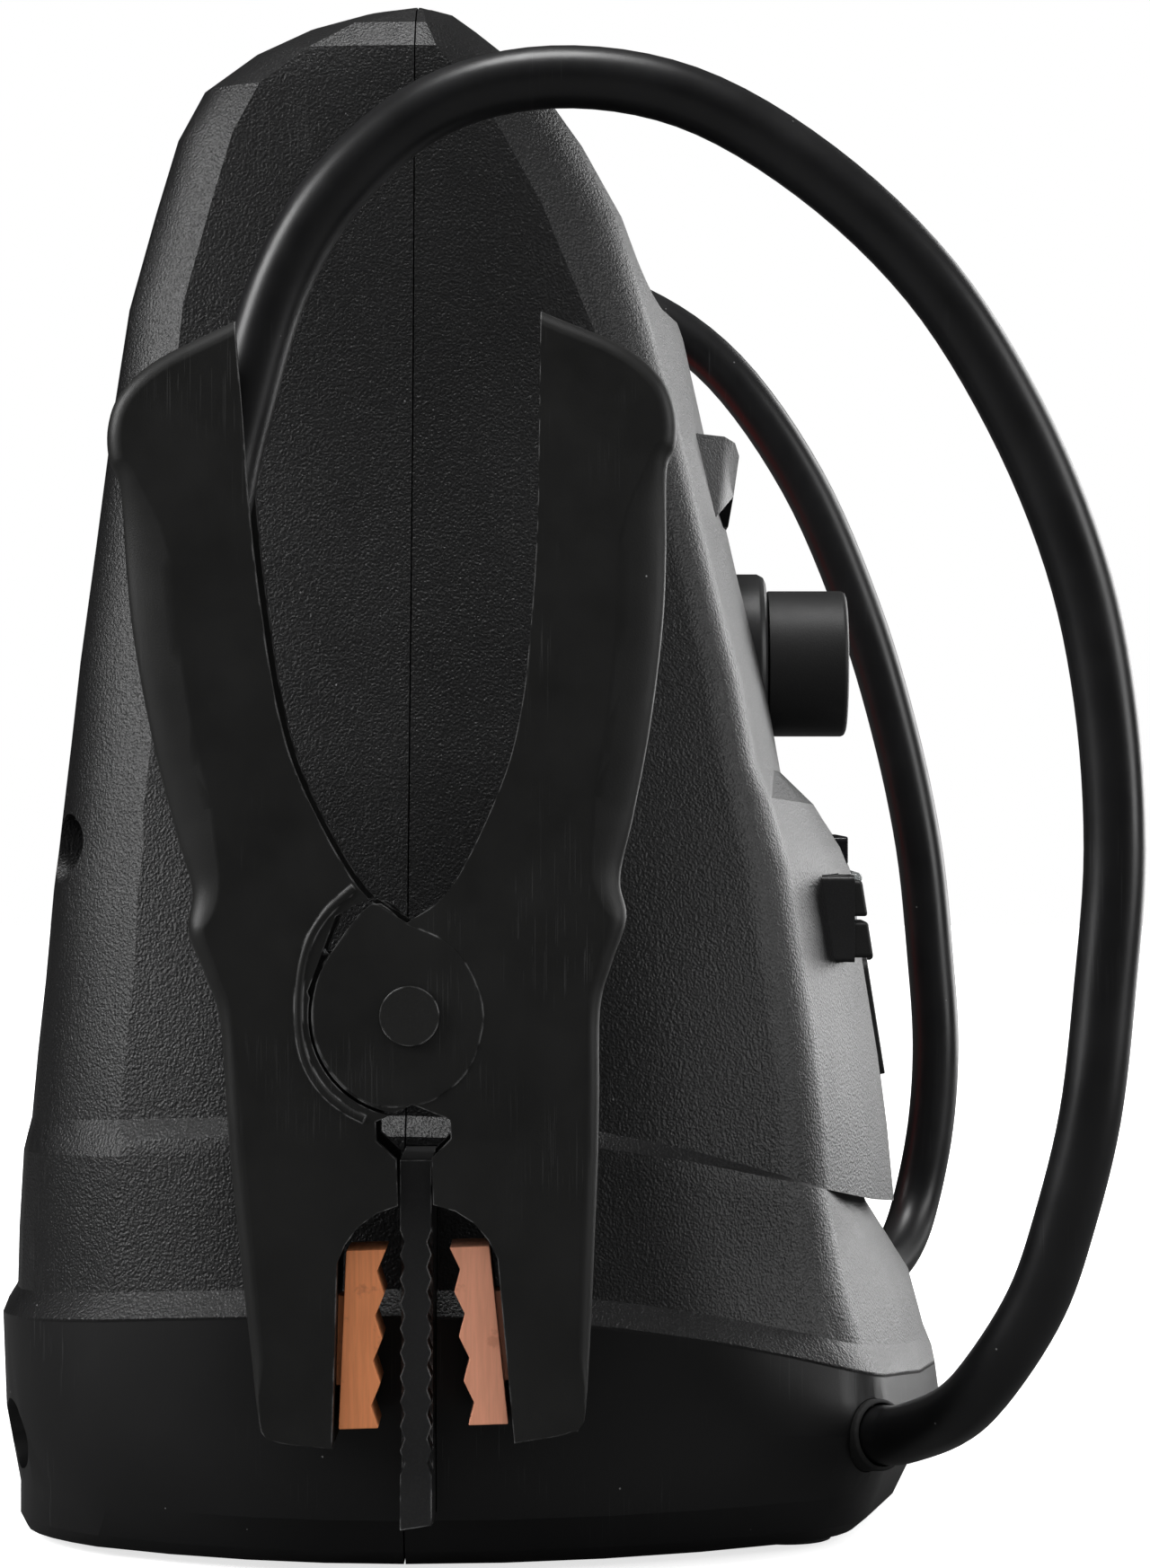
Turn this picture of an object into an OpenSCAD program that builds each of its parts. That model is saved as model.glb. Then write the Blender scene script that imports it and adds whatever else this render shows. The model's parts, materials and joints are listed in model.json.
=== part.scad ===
// Jump starter pack. The front faces -Y and the two clamps hang on the -X and +X walls.
// +Z is up, and the feet stand on z = 0.

/* [Housing] */
// Height of the housing from its rim to the crest of the handle
body_h = 335; // [300:1:420]
// Width of the base across its side walls
body_w = 288; // [250:1:346]
// Depth of the base from front to back
body_d = 206; // [190:1:248]
// Wall thickness of the shells
wall = 3; // [2.4:0.1:3.6]
// Distance of the seam plane behind the middle
seam_y = 12.5; // [8:0.5:15]
// Gap along the seam between the shells
seam_gap = 0.3; // [0.2:0.05:0.5]
// Height of the feet below the rim
foot_h = 2; // [1.5:0.1:2.4]
// Diameter of a foot
foot_d = 20; // [14:1:24]

/* [Handle] */
// Width of the finger opening
grip_w = 116; // [90:1:124]
// Height of the finger opening
grip_h = 34; // [26:1:36]
// Depth of the grip bar from front to back
grip_d = 38; // [30:1:44]
// Thickness of the grip bar from the opening to the crest
grip_t = 33; // [28:1:38]

/* [Front fittings] */
// Diameter of the collar round the switch knob
bezel_d = 42.5; // [38:0.5:50]
// Diameter of the switch knob
knob_d = 34.5; // [30:0.5:40]
// Length of the switch knob
knob_len = 18.6; // [15:0.1:22]
// Height of the knob axis
knob_z = 191.5; // [184:0.5:196]
// Diameter of the switch shaft
shaft_d = 8; // [6:0.5:10]
// Width of a push button
button_w = 18; // [14:0.5:22]
// Height of a push button
button_h = 8; // [6:0.5:8.6]
// Travel of a push button
button_travel = 2; // [1:0.1:2.4]
// Width of the port flap
flap_w = 66; // [60:1:74]
// Height of the port flap
flap_h = 27; // [26:0.5:29]
// Bore of the twelve volt outlet
outlet_bore = 21; // [20:0.1:21.5]
// Width of the lamp pod
lamp_w = 96; // [80:1:104]

/* [Clamps] */
// Thickness of a clamp across its handles
clamp_t = 26; // [24:1:31]
// Diameter of the pivot rivet
rivet_d = 8; // [6.4:0.1:9.6]
// Thickness of a copper jaw
jaw_t = 17; // [14:0.5:20]
// Thickness of the storage post
post_t = 6.4; // [5.4:0.1:6.4]
// Widest swing of a clamp handle from its rest on the post
clamp_swing = 18; // [10:1:18]

/* [Cables] */
// Diameter of the heavy cables
cable_d = 12.6; // [11:0.1:12.8]

/* [Inside] */
// Width of the battery
battery_w = 181; // [150:1:184]
// Depth of the battery
battery_d = 77; // [64:1:80]
// Height of the battery case
battery_h = 137; // [120:1:138]

/* [Hidden] */
$fn = 64;

// Clearances that tie what fits to what carries it
fit = 0.2;
running = 0.05;
seat = 0.3;
lead_fit = 0.35;
lug_gap = 0.9;
past = 1;
big = 500;

// --------------------------------------------------------------------------------------------------
// The housing is lofted through plan sections. Each has its height at the seam, at the rear and at the
// front, its rear and front reach from the middle, its half width at the seam, the radius of its rear
// corners, its side bow, the radius of its front corners, and the share of the half width by which its
// front bulges. They are written for a body of NOMINAL width, depth and height, and follow the real one.

NOMINAL = [288, 206, 335];
SECTIONS = [
    [0, 0, 0, 101, 95.5, 136, 16, 32, 10, 0.12],
    [3, 3, 3, 102.4, 99.5, 139.5, 18, 33, 10, 0.125],
    [10, 10, 10, 102.2, 103, 142.5, 20, 33, 10, 0.13],
    [28, 26, 20, 105.2, 108, 144, 22, 33, 9, 0.14],
    [52, 46, 28, 106, 107, 142, 22, 32, 8, 0.15],
    [57, 51, 33, 103, 105, 138, 22, 31, 8, 0.17],
    [70, 64, 46, 102.7, 101.5, 136, 22, 30, 8, 0.18],
    [84, 81, 62, 101.7, 91.5, 134, 22, 28, 8, 0.12],
    [88, 84, 70, 101, 88, 133, 22, 28, 8, 0.1],
    [92, 88, 64, 100, 98, 129, 20, 26, 8, 0.185],
    [105, 102, 80, 98.7, 96.5, 126.5, 20, 24, 8, 0.185],
    [120, 118, 98, 97, 94.2, 123, 20, 22, 8, 0.185],
    [138, 138, 124, 95.2, 90, 118.5, 19, 19, 8, 0.187],
    [148, 148, 140, 94, 88, 116, 19, 18, 8, 0.192],
    [155, 155, 146, 93.2, 85.5, 114, 18, 17, 8, 0.187],
    [163, 163, 156, 92.3, 79, 112, 18, 16, 8, 0.147],
    [170, 170, 163.5, 91.5, 70.8, 110, 18, 15, 8, 0.092],
    [188, 188, 182, 89.6, 67.5, 105, 16, 13, 8, 0.096],
    [213, 213, 208, 86.4, 61, 98.5, 15, 11, 8, 0.103],
    [243, 243, 240, 82.7, 53.7, 91, 13, 8.5, 9, 0.115],
    [266, 266, 264, 79.2, 48.6, 87.5, 12, 7, 11, 0.15],
    [288, 288, 288, 73.2, 40.3, 84.5, 12, 6, 12, 0.155],
    [304, 304, 304, 68.4, 31.6, 82.5, 12, 5, 12, 0.16],
    [315, 315, 314, 62.5, 24.3, 81.4, 12, 5, 12, 0.16],
    [323, 323, 322, 51.5, 16, 79.8, 12, 4, 12, 0.15],
    [329, 329, 328, 39.5, 8.5, 74.3, 10, 3, 10, 0.14],
    [333, 333, 333, 28, 1.8, 66.6, 8, 2, 8, 0.12],
    [335, 335, 335, 18, -4.4, 58, 6, 1, 6, 0.1]
];
// Share of the half width by which the rear bulges in plan
REAR_BULGE = 0.05;
// Share of a corner's radius by which it is flattened, so that a crease bounds the side, against height
REAR_CREASE = [[0, 0.1], [100, 0.15], [250, 0.36], [340, 0.36]];
FRONT_CREASE = [[0, 0], [225, 0], [270, 0.36], [340, 0.36]];
SIDE_STEPS = 4;
CORNER_STEPS = 5;
FACE_STEPS = 3;

kx = body_w / NOMINAL[0];
ky = body_d / NOMINAL[1];
kz = body_h / NOMINAL[2];

// One section at the real size, drawn in by a wall
function section(i, inset = 0) =
    let(s = SECTIONS[i])
    [foot_h + s[0] * kz, foot_h + s[1] * kz, foot_h + s[2] * kz,
     s[3] * ky - inset, s[4] * ky - inset, s[5] * kx - inset, s[6], s[7] * kx, s[8], s[9]];

// Half width of the outer wall at a height, at the seam
function half_width(z) = lookup(z, [for (s = SECTIONS) [foot_h + s[0] * kz, s[5] * kx]]);
function mix(a, b, t) = a + (b - a) * t;
function bezier(a, b, c, t) = mix(mix(a, b, t), mix(b, c, t), t);

// Half of a section's outline, from the seam to the middle of the end wall, as [x, y] with y from the seam.
// The corner's middle control point is drawn in by the pull.
function half_outline(reach, half_w, corner, bow, bulge, pull) =
    let(end_w = half_w - bow,
        face = reach - bulge * half_w,
        r = min(corner, face * 0.8),
        turn = face - r,
        side = [for (k = [0:SIDE_STEPS])
            let(y = turn * k / SIDE_STEPS) [half_w - bow * pow(y / face, 2), y]],
        face_at = end_w - r,
        front = [for (k = [0:FACE_STEPS])
            let(x = face_at * (1 - k / FACE_STEPS)) [x, reach - bulge * half_w * pow(x / end_w, 2)]])
    concat(side,
           [for (k = [1:CORNER_STEPS - 1])
               bezier(side[SIDE_STEPS], [end_w - pull, face], front[0], k / CORNER_STEPS)],
           front);

// One ring of a half shell in space: sign -1 is the front half and 1 the rear half
function ring(s, sign, gap) =
    let(reach = sign < 0 ? s[4] + seam_y : s[3] - seam_y,
        bulge = sign < 0 ? s[9] : REAR_BULGE,
        corner = sign < 0 ? s[8] : s[6],
        pull = corner * lookup(s[0] / kz, sign < 0 ? FRONT_CREASE : REAR_CREASE),
        z_end = sign < 0 ? s[2] : s[1],
        half = half_outline(max(reach, 2), s[5], corner, s[7], bulge, pull),
        place = function(p) [p[0], seam_y + sign * (gap + p[1]),
                             mix(s[0], z_end, pow(p[1] / max(reach, 2), 2))],
        near = [for (p = half) place([-p[0], p[1]])],
        far = [for (k = [len(half) - 2:-1:0]) place(half[k])])
    concat(near, far);

// Closed loft through rings that all have the same number of points, each end capped by strips
module loft(rings, flip) {
    n = len(rings[0]);
    m = len(rings);
    points = [for (r = rings) each r];
    skin = [for (i = [0:m - 2]) for (j = [0:n - 2])
        each [[i * n + j, (i + 1) * n + j, (i + 1) * n + j + 1],
              [i * n + j, (i + 1) * n + j + 1, i * n + j + 1]]];
    back = [for (i = [0:m - 2])
        each [[i * n, i * n + n - 1, (i + 1) * n + n - 1], [i * n, (i + 1) * n + n - 1, (i + 1) * n]]];
    half = (n - 1) / 2;
    floor_faces = [for (j = [0:half - 1])
        each j == half - 1
            ? [[j, j + 1, n - 1 - j]]
            : [[j, j + 1, n - 1 - j], [j + 1, n - 2 - j, n - 1 - j]]];
    top = (m - 1) * n;
    roof_faces = [for (f = floor_faces) [top + f[0], top + f[2], top + f[1]]];
    faces = concat(skin, back, floor_faces, roof_faces);
    polyhedron(points, flip ? [for (f = faces) [f[0], f[2], f[1]]] : faces);
}

// Solid half of the housing's outer form
module half_body(sign) {
    loft([for (i = [0:len(SECTIONS) - 1]) ring(section(i), sign, seam_gap / 2)], sign > 0);
}

// Hollow inside a half, below the handle
CAVITY_SECTIONS = [1, 3, 6, 8, 10, 12, 15, 16, 18, 19];
cavity_floor = foot_h + wall;
module half_cavity(sign) {
    rings = [for (i = CAVITY_SECTIONS)
        let(s = section(i, wall))
            ring([for (k = [0:len(s) - 1]) k < 3 ? max(s[k], cavity_floor) : s[k]], sign, -past)];
    loft(rings, sign > 0);
}

// Slab with rounded corners that runs along Y, centred on [x, z]
module window(x, z, w, h, r, y0, y1) {
    translate([x, y1, z])
        rotate([90, 0, 0])
            linear_extrude(y1 - y0)
                rounded(w, h, r);
}

module rounded(w, h, r) {
    union() {
        square([w, h - 2 * r], center = true);
        square([w - 2 * r, h], center = true);
        for (x = [-1, 1], y = [-1, 1])
            translate([x * (w / 2 - r), y * (h / 2 - r)])
                circle(r);
    }
}

// Round bar along Y from y0 to y1
module bar(x, z, d, y0, y1) {
    translate([x, y1, z])
        rotate([90, 0, 0])
            cylinder(d = d, h = y1 - y0);
}

// Round bar along X from x0 to x1
module axle(y, z, d, x0, x1) {
    translate([x0, y, z])
        rotate([0, 90, 0])
            cylinder(d = d, h = x1 - x0);
}

// Block given by two opposite corners
module block(a, b) {
    translate(a)
        cube(b - a);
}

// --------------------------------------------------------------------------------------------------
// Handle

crest_z = foot_h + body_h;
grip_top = crest_z - grip_t;
grip_mid = grip_top - grip_h / 2;
grip_front = seam_y - grip_d / 2;
grip_back = seam_y + grip_d / 2;
grip_r = 12;

// Finger opening, and the scoops that bare the grip bar in front and behind
module grip_cut() {
    window(0, grip_mid, grip_w, grip_h, grip_r, -big / 2, big / 2);
    tall = crest_z - (grip_mid - grip_h / 2) + 2 * grip_r;
    middle = grip_mid - grip_h / 2 + tall / 2;
    window(0, middle, grip_w, tall, grip_r, -big / 2, grip_front);
    window(0, middle, grip_w, tall, grip_r, grip_back, big / 2);
}

// --------------------------------------------------------------------------------------------------
// Screws that hold the shells, in deep wells from the rear

well_d = 15;
screw_d = 4;
screw_head_d = 8;
screw_head_t = 3;
boss_d = 10;
rib_t = 3;
WELLS = [[-86, 147], [86, 147], [-97, 21.3], [97, 21.3]];
well_floor = seam_y + 49.5;
boss_front = -10;

function well_at(p) = [p[0] * kx, foot_h + p[1] * kz];

module at_wells(d, y0, y1) {
    for (p = WELLS)
        bar(well_at(p)[0], well_at(p)[1], d, y0, y1);
}

// Ribs that tie the bosses to the side walls
module well_ribs(y0, y1) {
    for (p = WELLS)
        let(at = well_at(p), side = sign(p[0]))
            translate([at[0] + side * big / 2, (y0 + y1) / 2, at[1]])
                cube([big, y1 - y0, rib_t], center = true);
}

// --------------------------------------------------------------------------------------------------
// Fittings of the front, all carried in windows through the front wall

FRONT_ROWS = [for (i = [10:len(SECTIONS) - 1]) section(i)];

// Y of the front wall's outer face at a place
function front_face(x, z) =
    let(reach = lookup(z, [for (s = FRONT_ROWS) [s[2], s[4]]]),
        half_w = lookup(z, [for (s = FRONT_ROWS) [s[2], s[5]]]),
        end_w = lookup(z, [for (s = FRONT_ROWS) [s[2], s[5] - s[7]]]),
        bulge = lookup(z, [for (s = FRONT_ROWS) [s[2], s[9]]]))
    -(reach - bulge * half_w * pow(x / end_w, 2));

// Cable gland in the front corner of each side: centre of its outer face and the way it points
GLAND_AT = [-111 * kx, -87 * ky, 25];
GLAND_WAY = [-0.77, -0.62, 0.14];
gland_d = cable_d + 2.6;
gland_out = 1.2;
gland_flange = 3;
gland_len = 12;
lead_d = cable_d;

// Storage post on each side wall
post_y = seam_y - seam_gap / 2 - post_t / 2;
post_low = 14;
post_high = 88;
post_root = half_width(post_high) - wall - 7;
post_reach = body_w / 2 + 22;
post_foot_w = 18;

// Lamp pod
lamp_top = 242.4;
lamp_low = 222;
lamp_narrow = 14;
lamp_shell = 2.4;
lamp_depth = 16;

bezel_at = -67.6;
knob_gap = 0.5;
knob_front = bezel_at - knob_gap - knob_len;

button_x = -58;
button_mid = 133;
button_gap = 1.2;
button_pitch = button_h + button_gap;
button_proud = 6.2;
lip_t = 0.8;
lip_proud = 3.2;
frame_back = -70;
frame_w = button_w + 2 * (fit + lip_t);
frame_h = 2 * button_h + button_gap + 2 * (fit + lip_t);

strip_w = 46;
strip_h = 6.4;
strip_z = 147.6;
strip_proud = 1;
light_d = 2.6;
light_z = 141;
LIGHT_X = [-13.5, -4.5, 4.5, 13.5];

flap_x = 4;
flap_z = 109.4;
flap_t = 2.2;
flap_r = 3;
flap_proud = 0.7;
flap_bead_d = 2;
flap_bead_w = 40;
groove_half = flap_bead_w / 2 + fit;
panel_tilt = -9;
panel_r = 380;
outlet_od = outlet_bore + 3.4;
outlet_x = flap_x - 17;
outlet_deep = 36;
usb_x = flap_x + 15;
usb_w = 24;
usb_h = 15;
board_y = -66;
board_t = 1.6;

// Place on the middle of the flap, leaning back with the front wall
module on_panel() {
    translate([flap_x, front_face(0, flap_z), flap_z])
        rotate([panel_tilt, 0, 0])
            children();
}

// Plate that bulges forward like the wall it lies on, with its face at y = 0
module bowed_plate(w, h, t, r) {
    intersection() {
        translate([0, panel_r, -h])
            difference() {
                cylinder(r = panel_r, h = 2 * h, $fn = 360);
                translate([0, 0, -past])
                    cylinder(r = panel_r - t, h = 2 * (h + past), $fn = 360);
            }
        window(0, 0, w, h, r, -past, 3 * t + w / 8);
    }
}

// Posts inside the front wall that carry the circuit board
module board_posts() {
    for (x = [-68, 58], z = [97, 147])
        bar(x, z, 7, -big / 2, board_y - 0.1);
}

// Ribs on the floor that hold the battery in place
module battery_ribs(y0, y1) {
    for (side = [-1, 1])
        translate([side * (battery_w / 2 + seat + rib_t / 2), (y0 + y1) / 2, cavity_floor])
            cube([rib_t, y1 - y0, 40], center = true);
}

module front_windows() {
    bar(0, knob_z, bezel_d + 2 * fit, -big / 2, 0);
    translate([0, -20, 0])
        rotate([90, 0, 0])
            linear_extrude(big)
                lamp_outline(fit);
    window(button_x, button_mid, frame_w + 2 * fit, frame_h + 2 * fit, 1.5, -big / 2, -50);
    window(0, strip_z, strip_w + 2 * fit, strip_h + 2 * fit, 1.5, -big / 2, -50);
    for (x = LIGHT_X)
        bar(x, light_z, light_d + 2 * fit, -big / 2, -50);
    on_panel()
        union() {
            difference() {
                window(0, 0, flap_w + 2 * fit, flap_h + 2 * fit, flap_r, -20, 3 * flap_t);
                translate([0, panel_r - flap_proud, 0])
                    cylinder(r = panel_r - flap_t - fit, h = big, center = true, $fn = 360);
            }
            axle(-flap_proud, flap_h / 2, flap_bead_d + 2 * fit, -groove_half, groove_half);
        }
    bar(outlet_x, flap_z, outlet_od + 2 * fit, -big / 2, -50);
    window(usb_x, flap_z, usb_w + 2 * fit, usb_h + 2 * fit, 1, -big / 2, -50);
}

// --------------------------------------------------------------------------------------------------
// Housing shells

module mirrored(side) {
    if (side < 0)
        children();
    else
        mirror([1, 0, 0])
            children();
}

// Turns +Z to a direction
module aim(way) {
    rotate([0, acos(way[2] / norm(way)), atan2(way[1], way[0])])
        children();
}

module rear_shell() color([0.16, 0.16, 0.17])
    difference() {
        half_body(1);
        difference() {
            half_cavity(1);
            at_wells(well_d + 2 * wall, well_floor - wall, big / 2);
            at_wells(boss_d, seam_y + seam_gap / 2, well_floor);
            battery_ribs(seam_y + seam_gap / 2, battery_y + battery_d / 2);
            block([-battery_w / 2, battery_y + battery_d / 2 + seat, 0],
                  [-strap_w, battery_y + battery_d / 2 + seat + rib_t, cavity_floor + 14]);
            block([strap_w, battery_y + battery_d / 2 + seat, 0],
                  [battery_w / 2, battery_y + battery_d / 2 + seat + rib_t, cavity_floor + 14]);
        }
        grip_cut();
        at_wells(well_d, well_floor, big / 2);
        at_wells(screw_d + 0.6, seam_y - past, well_floor + past);
    }

module front_shell() color([0.16, 0.16, 0.17])
    difference() {
        half_body(-1);
        difference() {
            half_cavity(-1);
            at_wells(boss_d, boss_front, seam_y - seam_gap / 2);
            well_ribs(boss_front, seam_y - seam_gap / 2);
            board_posts();
            battery_ribs(battery_y - battery_d / 2, seam_y - seam_gap / 2);
            block([-battery_w / 2, battery_y - battery_d / 2 - seat - rib_t, 0],
                  [-strap_w, battery_y - battery_d / 2 - seat, cavity_floor + 14]);
            block([strap_w, battery_y - battery_d / 2 - seat - rib_t, 0],
                  [battery_w / 2, battery_y - battery_d / 2 - seat, cavity_floor + 14]);
        }
        grip_cut();
        front_windows();
        at_wells(screw_d - 0.2, boss_front + 4, seam_y);
        for (side = [-1, 1])
            mirrored(side) {
                translate(GLAND_AT)
                    aim(GLAND_WAY)
                        union() {
                            translate([0, 0, -gland_len])
                                cylinder(d = gland_d + 2 * fit, h = 2 * gland_len);
                            translate([0, 0, -2 * gland_len])
                                cylinder(d = gland_d + 2 * (gland_flange + fit), h = gland_len + 4 + fit);
                        }
                block([-big, post_y - post_t / 2 - fit, post_low - fit],
                      [-post_root + 4, seam_y + past, post_high + fit]);
            }
    }

module feet() color([0.08, 0.08, 0.08])
    for (x = [-1, 1], y = [-1, 1])
        translate([x * 92 * kx, y * 68 * ky, 0])
            cylinder(d = foot_d, h = foot_h);

module rear_screws() color([0.6, 0.6, 0.6])
    union() {
        at_wells(screw_d - 0.4, boss_front + 6, well_floor + past);
        at_wells(screw_head_d, well_floor + 0.1, well_floor + screw_head_t);
    }

// --------------------------------------------------------------------------------------------------
// Work lamp

// Front outline of the pod: wider at the top, where the hood is
module lamp_outline(grow) {
    half = lamp_w / 2 + grow;
    low = half - lamp_narrow;
    polygon([[-half, lamp_top + grow], [half, lamp_top + grow], [half, lamp_top - 8],
             [low, lamp_low - grow], [-low, lamp_low - grow], [-half, lamp_top - 8]]);
}

// The hood stands out and the face leans back to meet the wall below
lamp_face = front_face(0, lamp_low) + 0.5;
lamp_root = lamp_face + lamp_depth;
hood_out = 2.3;
hood_lip = 4.6;
// The sides slope in towards the face at this many millimetres each, over as much depth
lamp_slope = 8;
lamp_open_w = lamp_w - 2 * lamp_slope - 2 * lamp_shell;
module side_extrude(width) {
    translate([-width / 2, 0, 0])
        rotate([90, 0, 90])
            linear_extrude(width)
                children();
}

module lamp_housing() color([0.2, 0.2, 0.21])
    difference() {
        intersection() {
            side_extrude(lamp_w)
                polygon([[lamp_face, lamp_low], [lamp_face - hood_out, lamp_top - hood_lip],
                         [lamp_face - hood_out + 1, lamp_top - 1.6],
                         [lamp_face - hood_out + 3.4, lamp_top - 0.4],
                         [lamp_root, lamp_top], [lamp_root, lamp_low]]);
            translate([0, lamp_root, 0])
                rotate([90, 0, 0])
                    linear_extrude(2 * lamp_depth)
                        lamp_outline(0);
            translate([0, 0, lamp_low])
                linear_extrude(lamp_top - lamp_low)
                    polygon([[lamp_w / 2, lamp_root], [lamp_w / 2, lamp_face - hood_out + lamp_slope],
                             [lamp_w / 2 - lamp_slope, lamp_face - hood_out],
                             [lamp_slope - lamp_w / 2, lamp_face - hood_out],
                             [-lamp_w / 2, lamp_face - hood_out + lamp_slope], [-lamp_w / 2, lamp_root]]);
        }
        intersection() {
            translate([0, past, 0])
                side_extrude(lamp_open_w)
                    polygon([[lamp_face - 10, lamp_low + 3], [lamp_face - 10, lamp_top - 5],
                             [lamp_root, lamp_top - 3], [lamp_root, lamp_low + 3]]);
            translate([0, lamp_root + past, 0])
                rotate([90, 0, 0])
                    linear_extrude(3 * lamp_depth)
                        lamp_outline(-3);
        }
    }

lens_t = 2;
lens_lean = atan(hood_out / (lamp_top - hood_lip - lamp_low));
module lamp_lens() color([0.85, 0.9, 0.92, 0.6])
    intersection() {
        translate([0, lamp_face + 0.6, lamp_low])
            rotate([lens_lean, 0, 0])
                translate([-lamp_w / 2, 0, 0])
                    cube([lamp_w, lens_t, 2 * lamp_depth]);
        translate([0, lamp_root, 0])
            rotate([90, 0, 0])
                linear_extrude(3 * lamp_depth)
                    lamp_outline(-3 - fit - 1);
        side_extrude(lamp_open_w - 2 * fit)
            polygon([[lamp_face - 10, lamp_low + 3 + fit], [lamp_face - 10, lamp_top - 5 - fit],
                     [lamp_root, lamp_top - 5 - fit], [lamp_root, lamp_low + 3 + fit]]);
    }

LED_X = [-28, -14, 0, 14, 28];
reflector_y = lamp_face + 3;
reflector_t = 6;
module lamp_reflector() color([0.85, 0.85, 0.86])
    difference() {
        translate([0, reflector_y + reflector_t, 0])
            rotate([90, 0, 0])
                linear_extrude(reflector_t)
                    intersection() {
                        lamp_outline(-6);
                        translate([fit - lamp_open_w / 2, lamp_low])
                            square([lamp_open_w - 2 * fit, lamp_top - lamp_low]);
                    }
        for (x = LED_X)
            translate([x, reflector_y - 0.01, (lamp_top + lamp_low) / 2])
                rotate([-90, 0, 0])
                    cylinder(d1 = 11, d2 = 5, h = reflector_t + 0.02);
    }

led_d = 4;
led_y = reflector_y + reflector_t;
led_out = 2;
led_in = 0.2;
module lamp_board() color([0.9, 0.85, 0.3])
    union() {
        translate([-lamp_w / 2 + 14, reflector_y + reflector_t + 0.1, lamp_low + 5])
            cube([lamp_w - 28, board_t, lamp_top - lamp_low - 10]);
        for (x = LED_X)
            bar(x, (lamp_top + lamp_low) / 2, led_d, led_y - led_out, led_y + led_in);
    }

// --------------------------------------------------------------------------------------------------
// Rotary battery switch

bezel_r = bezel_d / 2;
bezel_lip = 2;
hub_d = shaft_d + 8;
module along_y(y) {
    translate([0, y, knob_z])
        rotate([-90, 0, 0])
            children();
}

module knob_bezel() color([0.1, 0.1, 0.1])
    along_y(bezel_at)
        rotate_extrude($fn = 96)
            polygon([[hub_d / 2 + seat, 3], [bezel_r - 4, 3], [bezel_r - 4, 0], [bezel_r - bezel_lip, 0],
                     [bezel_r - 0.8, 0.5], [bezel_r, bezel_lip], [bezel_r, 16], [hub_d / 2 + seat, 16]]);

module switch_knob() color([0.09, 0.09, 0.09])
    difference() {
        along_y(knob_front)
            rotate_extrude($fn = 96)
                polygon([[0, 0], [knob_d / 2 - 1.2, 0], [knob_d / 2 - 0.3, 0.4], [knob_d / 2, 1.2],
                         [knob_d / 2, knob_len], [hub_d / 2, knob_len],
                         [hub_d / 2, knob_len + 2.6], [0, knob_len + 2.6]]);
        for (side = [-1, 1])
            intersection() {
                along_y(knob_front - past)
                    cylinder(d = knob_d - 5, h = 9 + past);
                translate([side * (big / 2 + 4.5), knob_front, knob_z])
                    cube([big, 30, big], center = true);
            }
        along_y(knob_front + 6)
            cylinder(d = shaft_d + 2 * running, h = knob_len);
    }

switch_front = bezel_at + 16 + 0.3;
switch_d = 40;
switch_len = 26;
module switch_shaft() color([0.75, 0.75, 0.76])
    along_y(knob_front + 6 + 0.3)
        cylinder(d = shaft_d, h = switch_front + 14 - knob_front - 6);

module switch_body() color([0.12, 0.12, 0.13])
    difference() {
        union() {
            along_y(switch_front)
                cylinder(d = switch_d, h = switch_len);
            for (side = [-1, 1])
                translate([0, switch_front + switch_len, knob_z + side * 10])
                    rotate([-90, 0, 0])
                        cylinder(d = 8, h = 9);
        }
        along_y(switch_front - past)
            cylinder(d = shaft_d + 2 * running, h = 16 + past);
    }

// --------------------------------------------------------------------------------------------------
// Buttons and lights

module button_bezel() color([0.05, 0.05, 0.05])
    difference() {
        window(button_x, button_mid, frame_w, frame_h, 1.2,
               front_face(button_x, button_mid) - lip_proud, frame_back);
        for (side = [-1, 1])
            window(button_x, button_mid + side * button_pitch / 2, button_w + 2 * fit,
                   button_h + 2 * fit, 1,
                   -big / 2, -60);
    }

// Push button with a face that leans back like the wall
module button(z) {
    face = front_face(button_x, z) - button_proud;
    difference() {
        window(button_x, z, button_w, button_h, 1, face - 2, board_y - 3.4 - button_travel);
        translate([button_x - button_w, face, z])
            rotate([panel_tilt, 0, 0])
                translate([0, -10, -button_h])
                    cube([2 * button_w, 10, 2 * button_h]);
    }
}

module upper_button() color([0.06, 0.06, 0.06])
    button(button_mid + button_pitch / 2);

module lower_button() color([0.06, 0.06, 0.06])
    button(button_mid - button_pitch / 2);

module indicator_window() color([0.04, 0.04, 0.05])
    window(0, strip_z, strip_w, strip_h, 1.3, front_face(0, strip_z - strip_h / 2) - strip_proud + 2, -78);

module status_lights() color([0.85, 0.9, 0.9])
    for (x = LIGHT_X)
        translate([x, front_face(0, light_z) - 0.4, light_z])
            rotate([-90, 0, 0])
                union() {
                    cylinder(d = light_d, h = 8);
                    sphere(d = light_d, $fn = 24);
                }

// --------------------------------------------------------------------------------------------------
// Ports behind their flap

module port_flap() color([0.05, 0.05, 0.05])
    on_panel()
        translate([0, -flap_proud, 0])
            union() {
                bowed_plate(flap_w, flap_h, flap_t, flap_r);
                axle(0, flap_h / 2, flap_bead_d, -flap_bead_w / 2, flap_bead_w / 2);
            }

module outlet_socket() color([0.3, 0.3, 0.31])
    difference() {
        bar(outlet_x, flap_z, outlet_od, front_face(0, flap_z) + flap_t + 3.4,
            front_face(0, flap_z) + outlet_deep + 4);
        bar(outlet_x, flap_z, outlet_bore, -big / 2, front_face(0, flap_z) + outlet_deep);
    }

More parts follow.
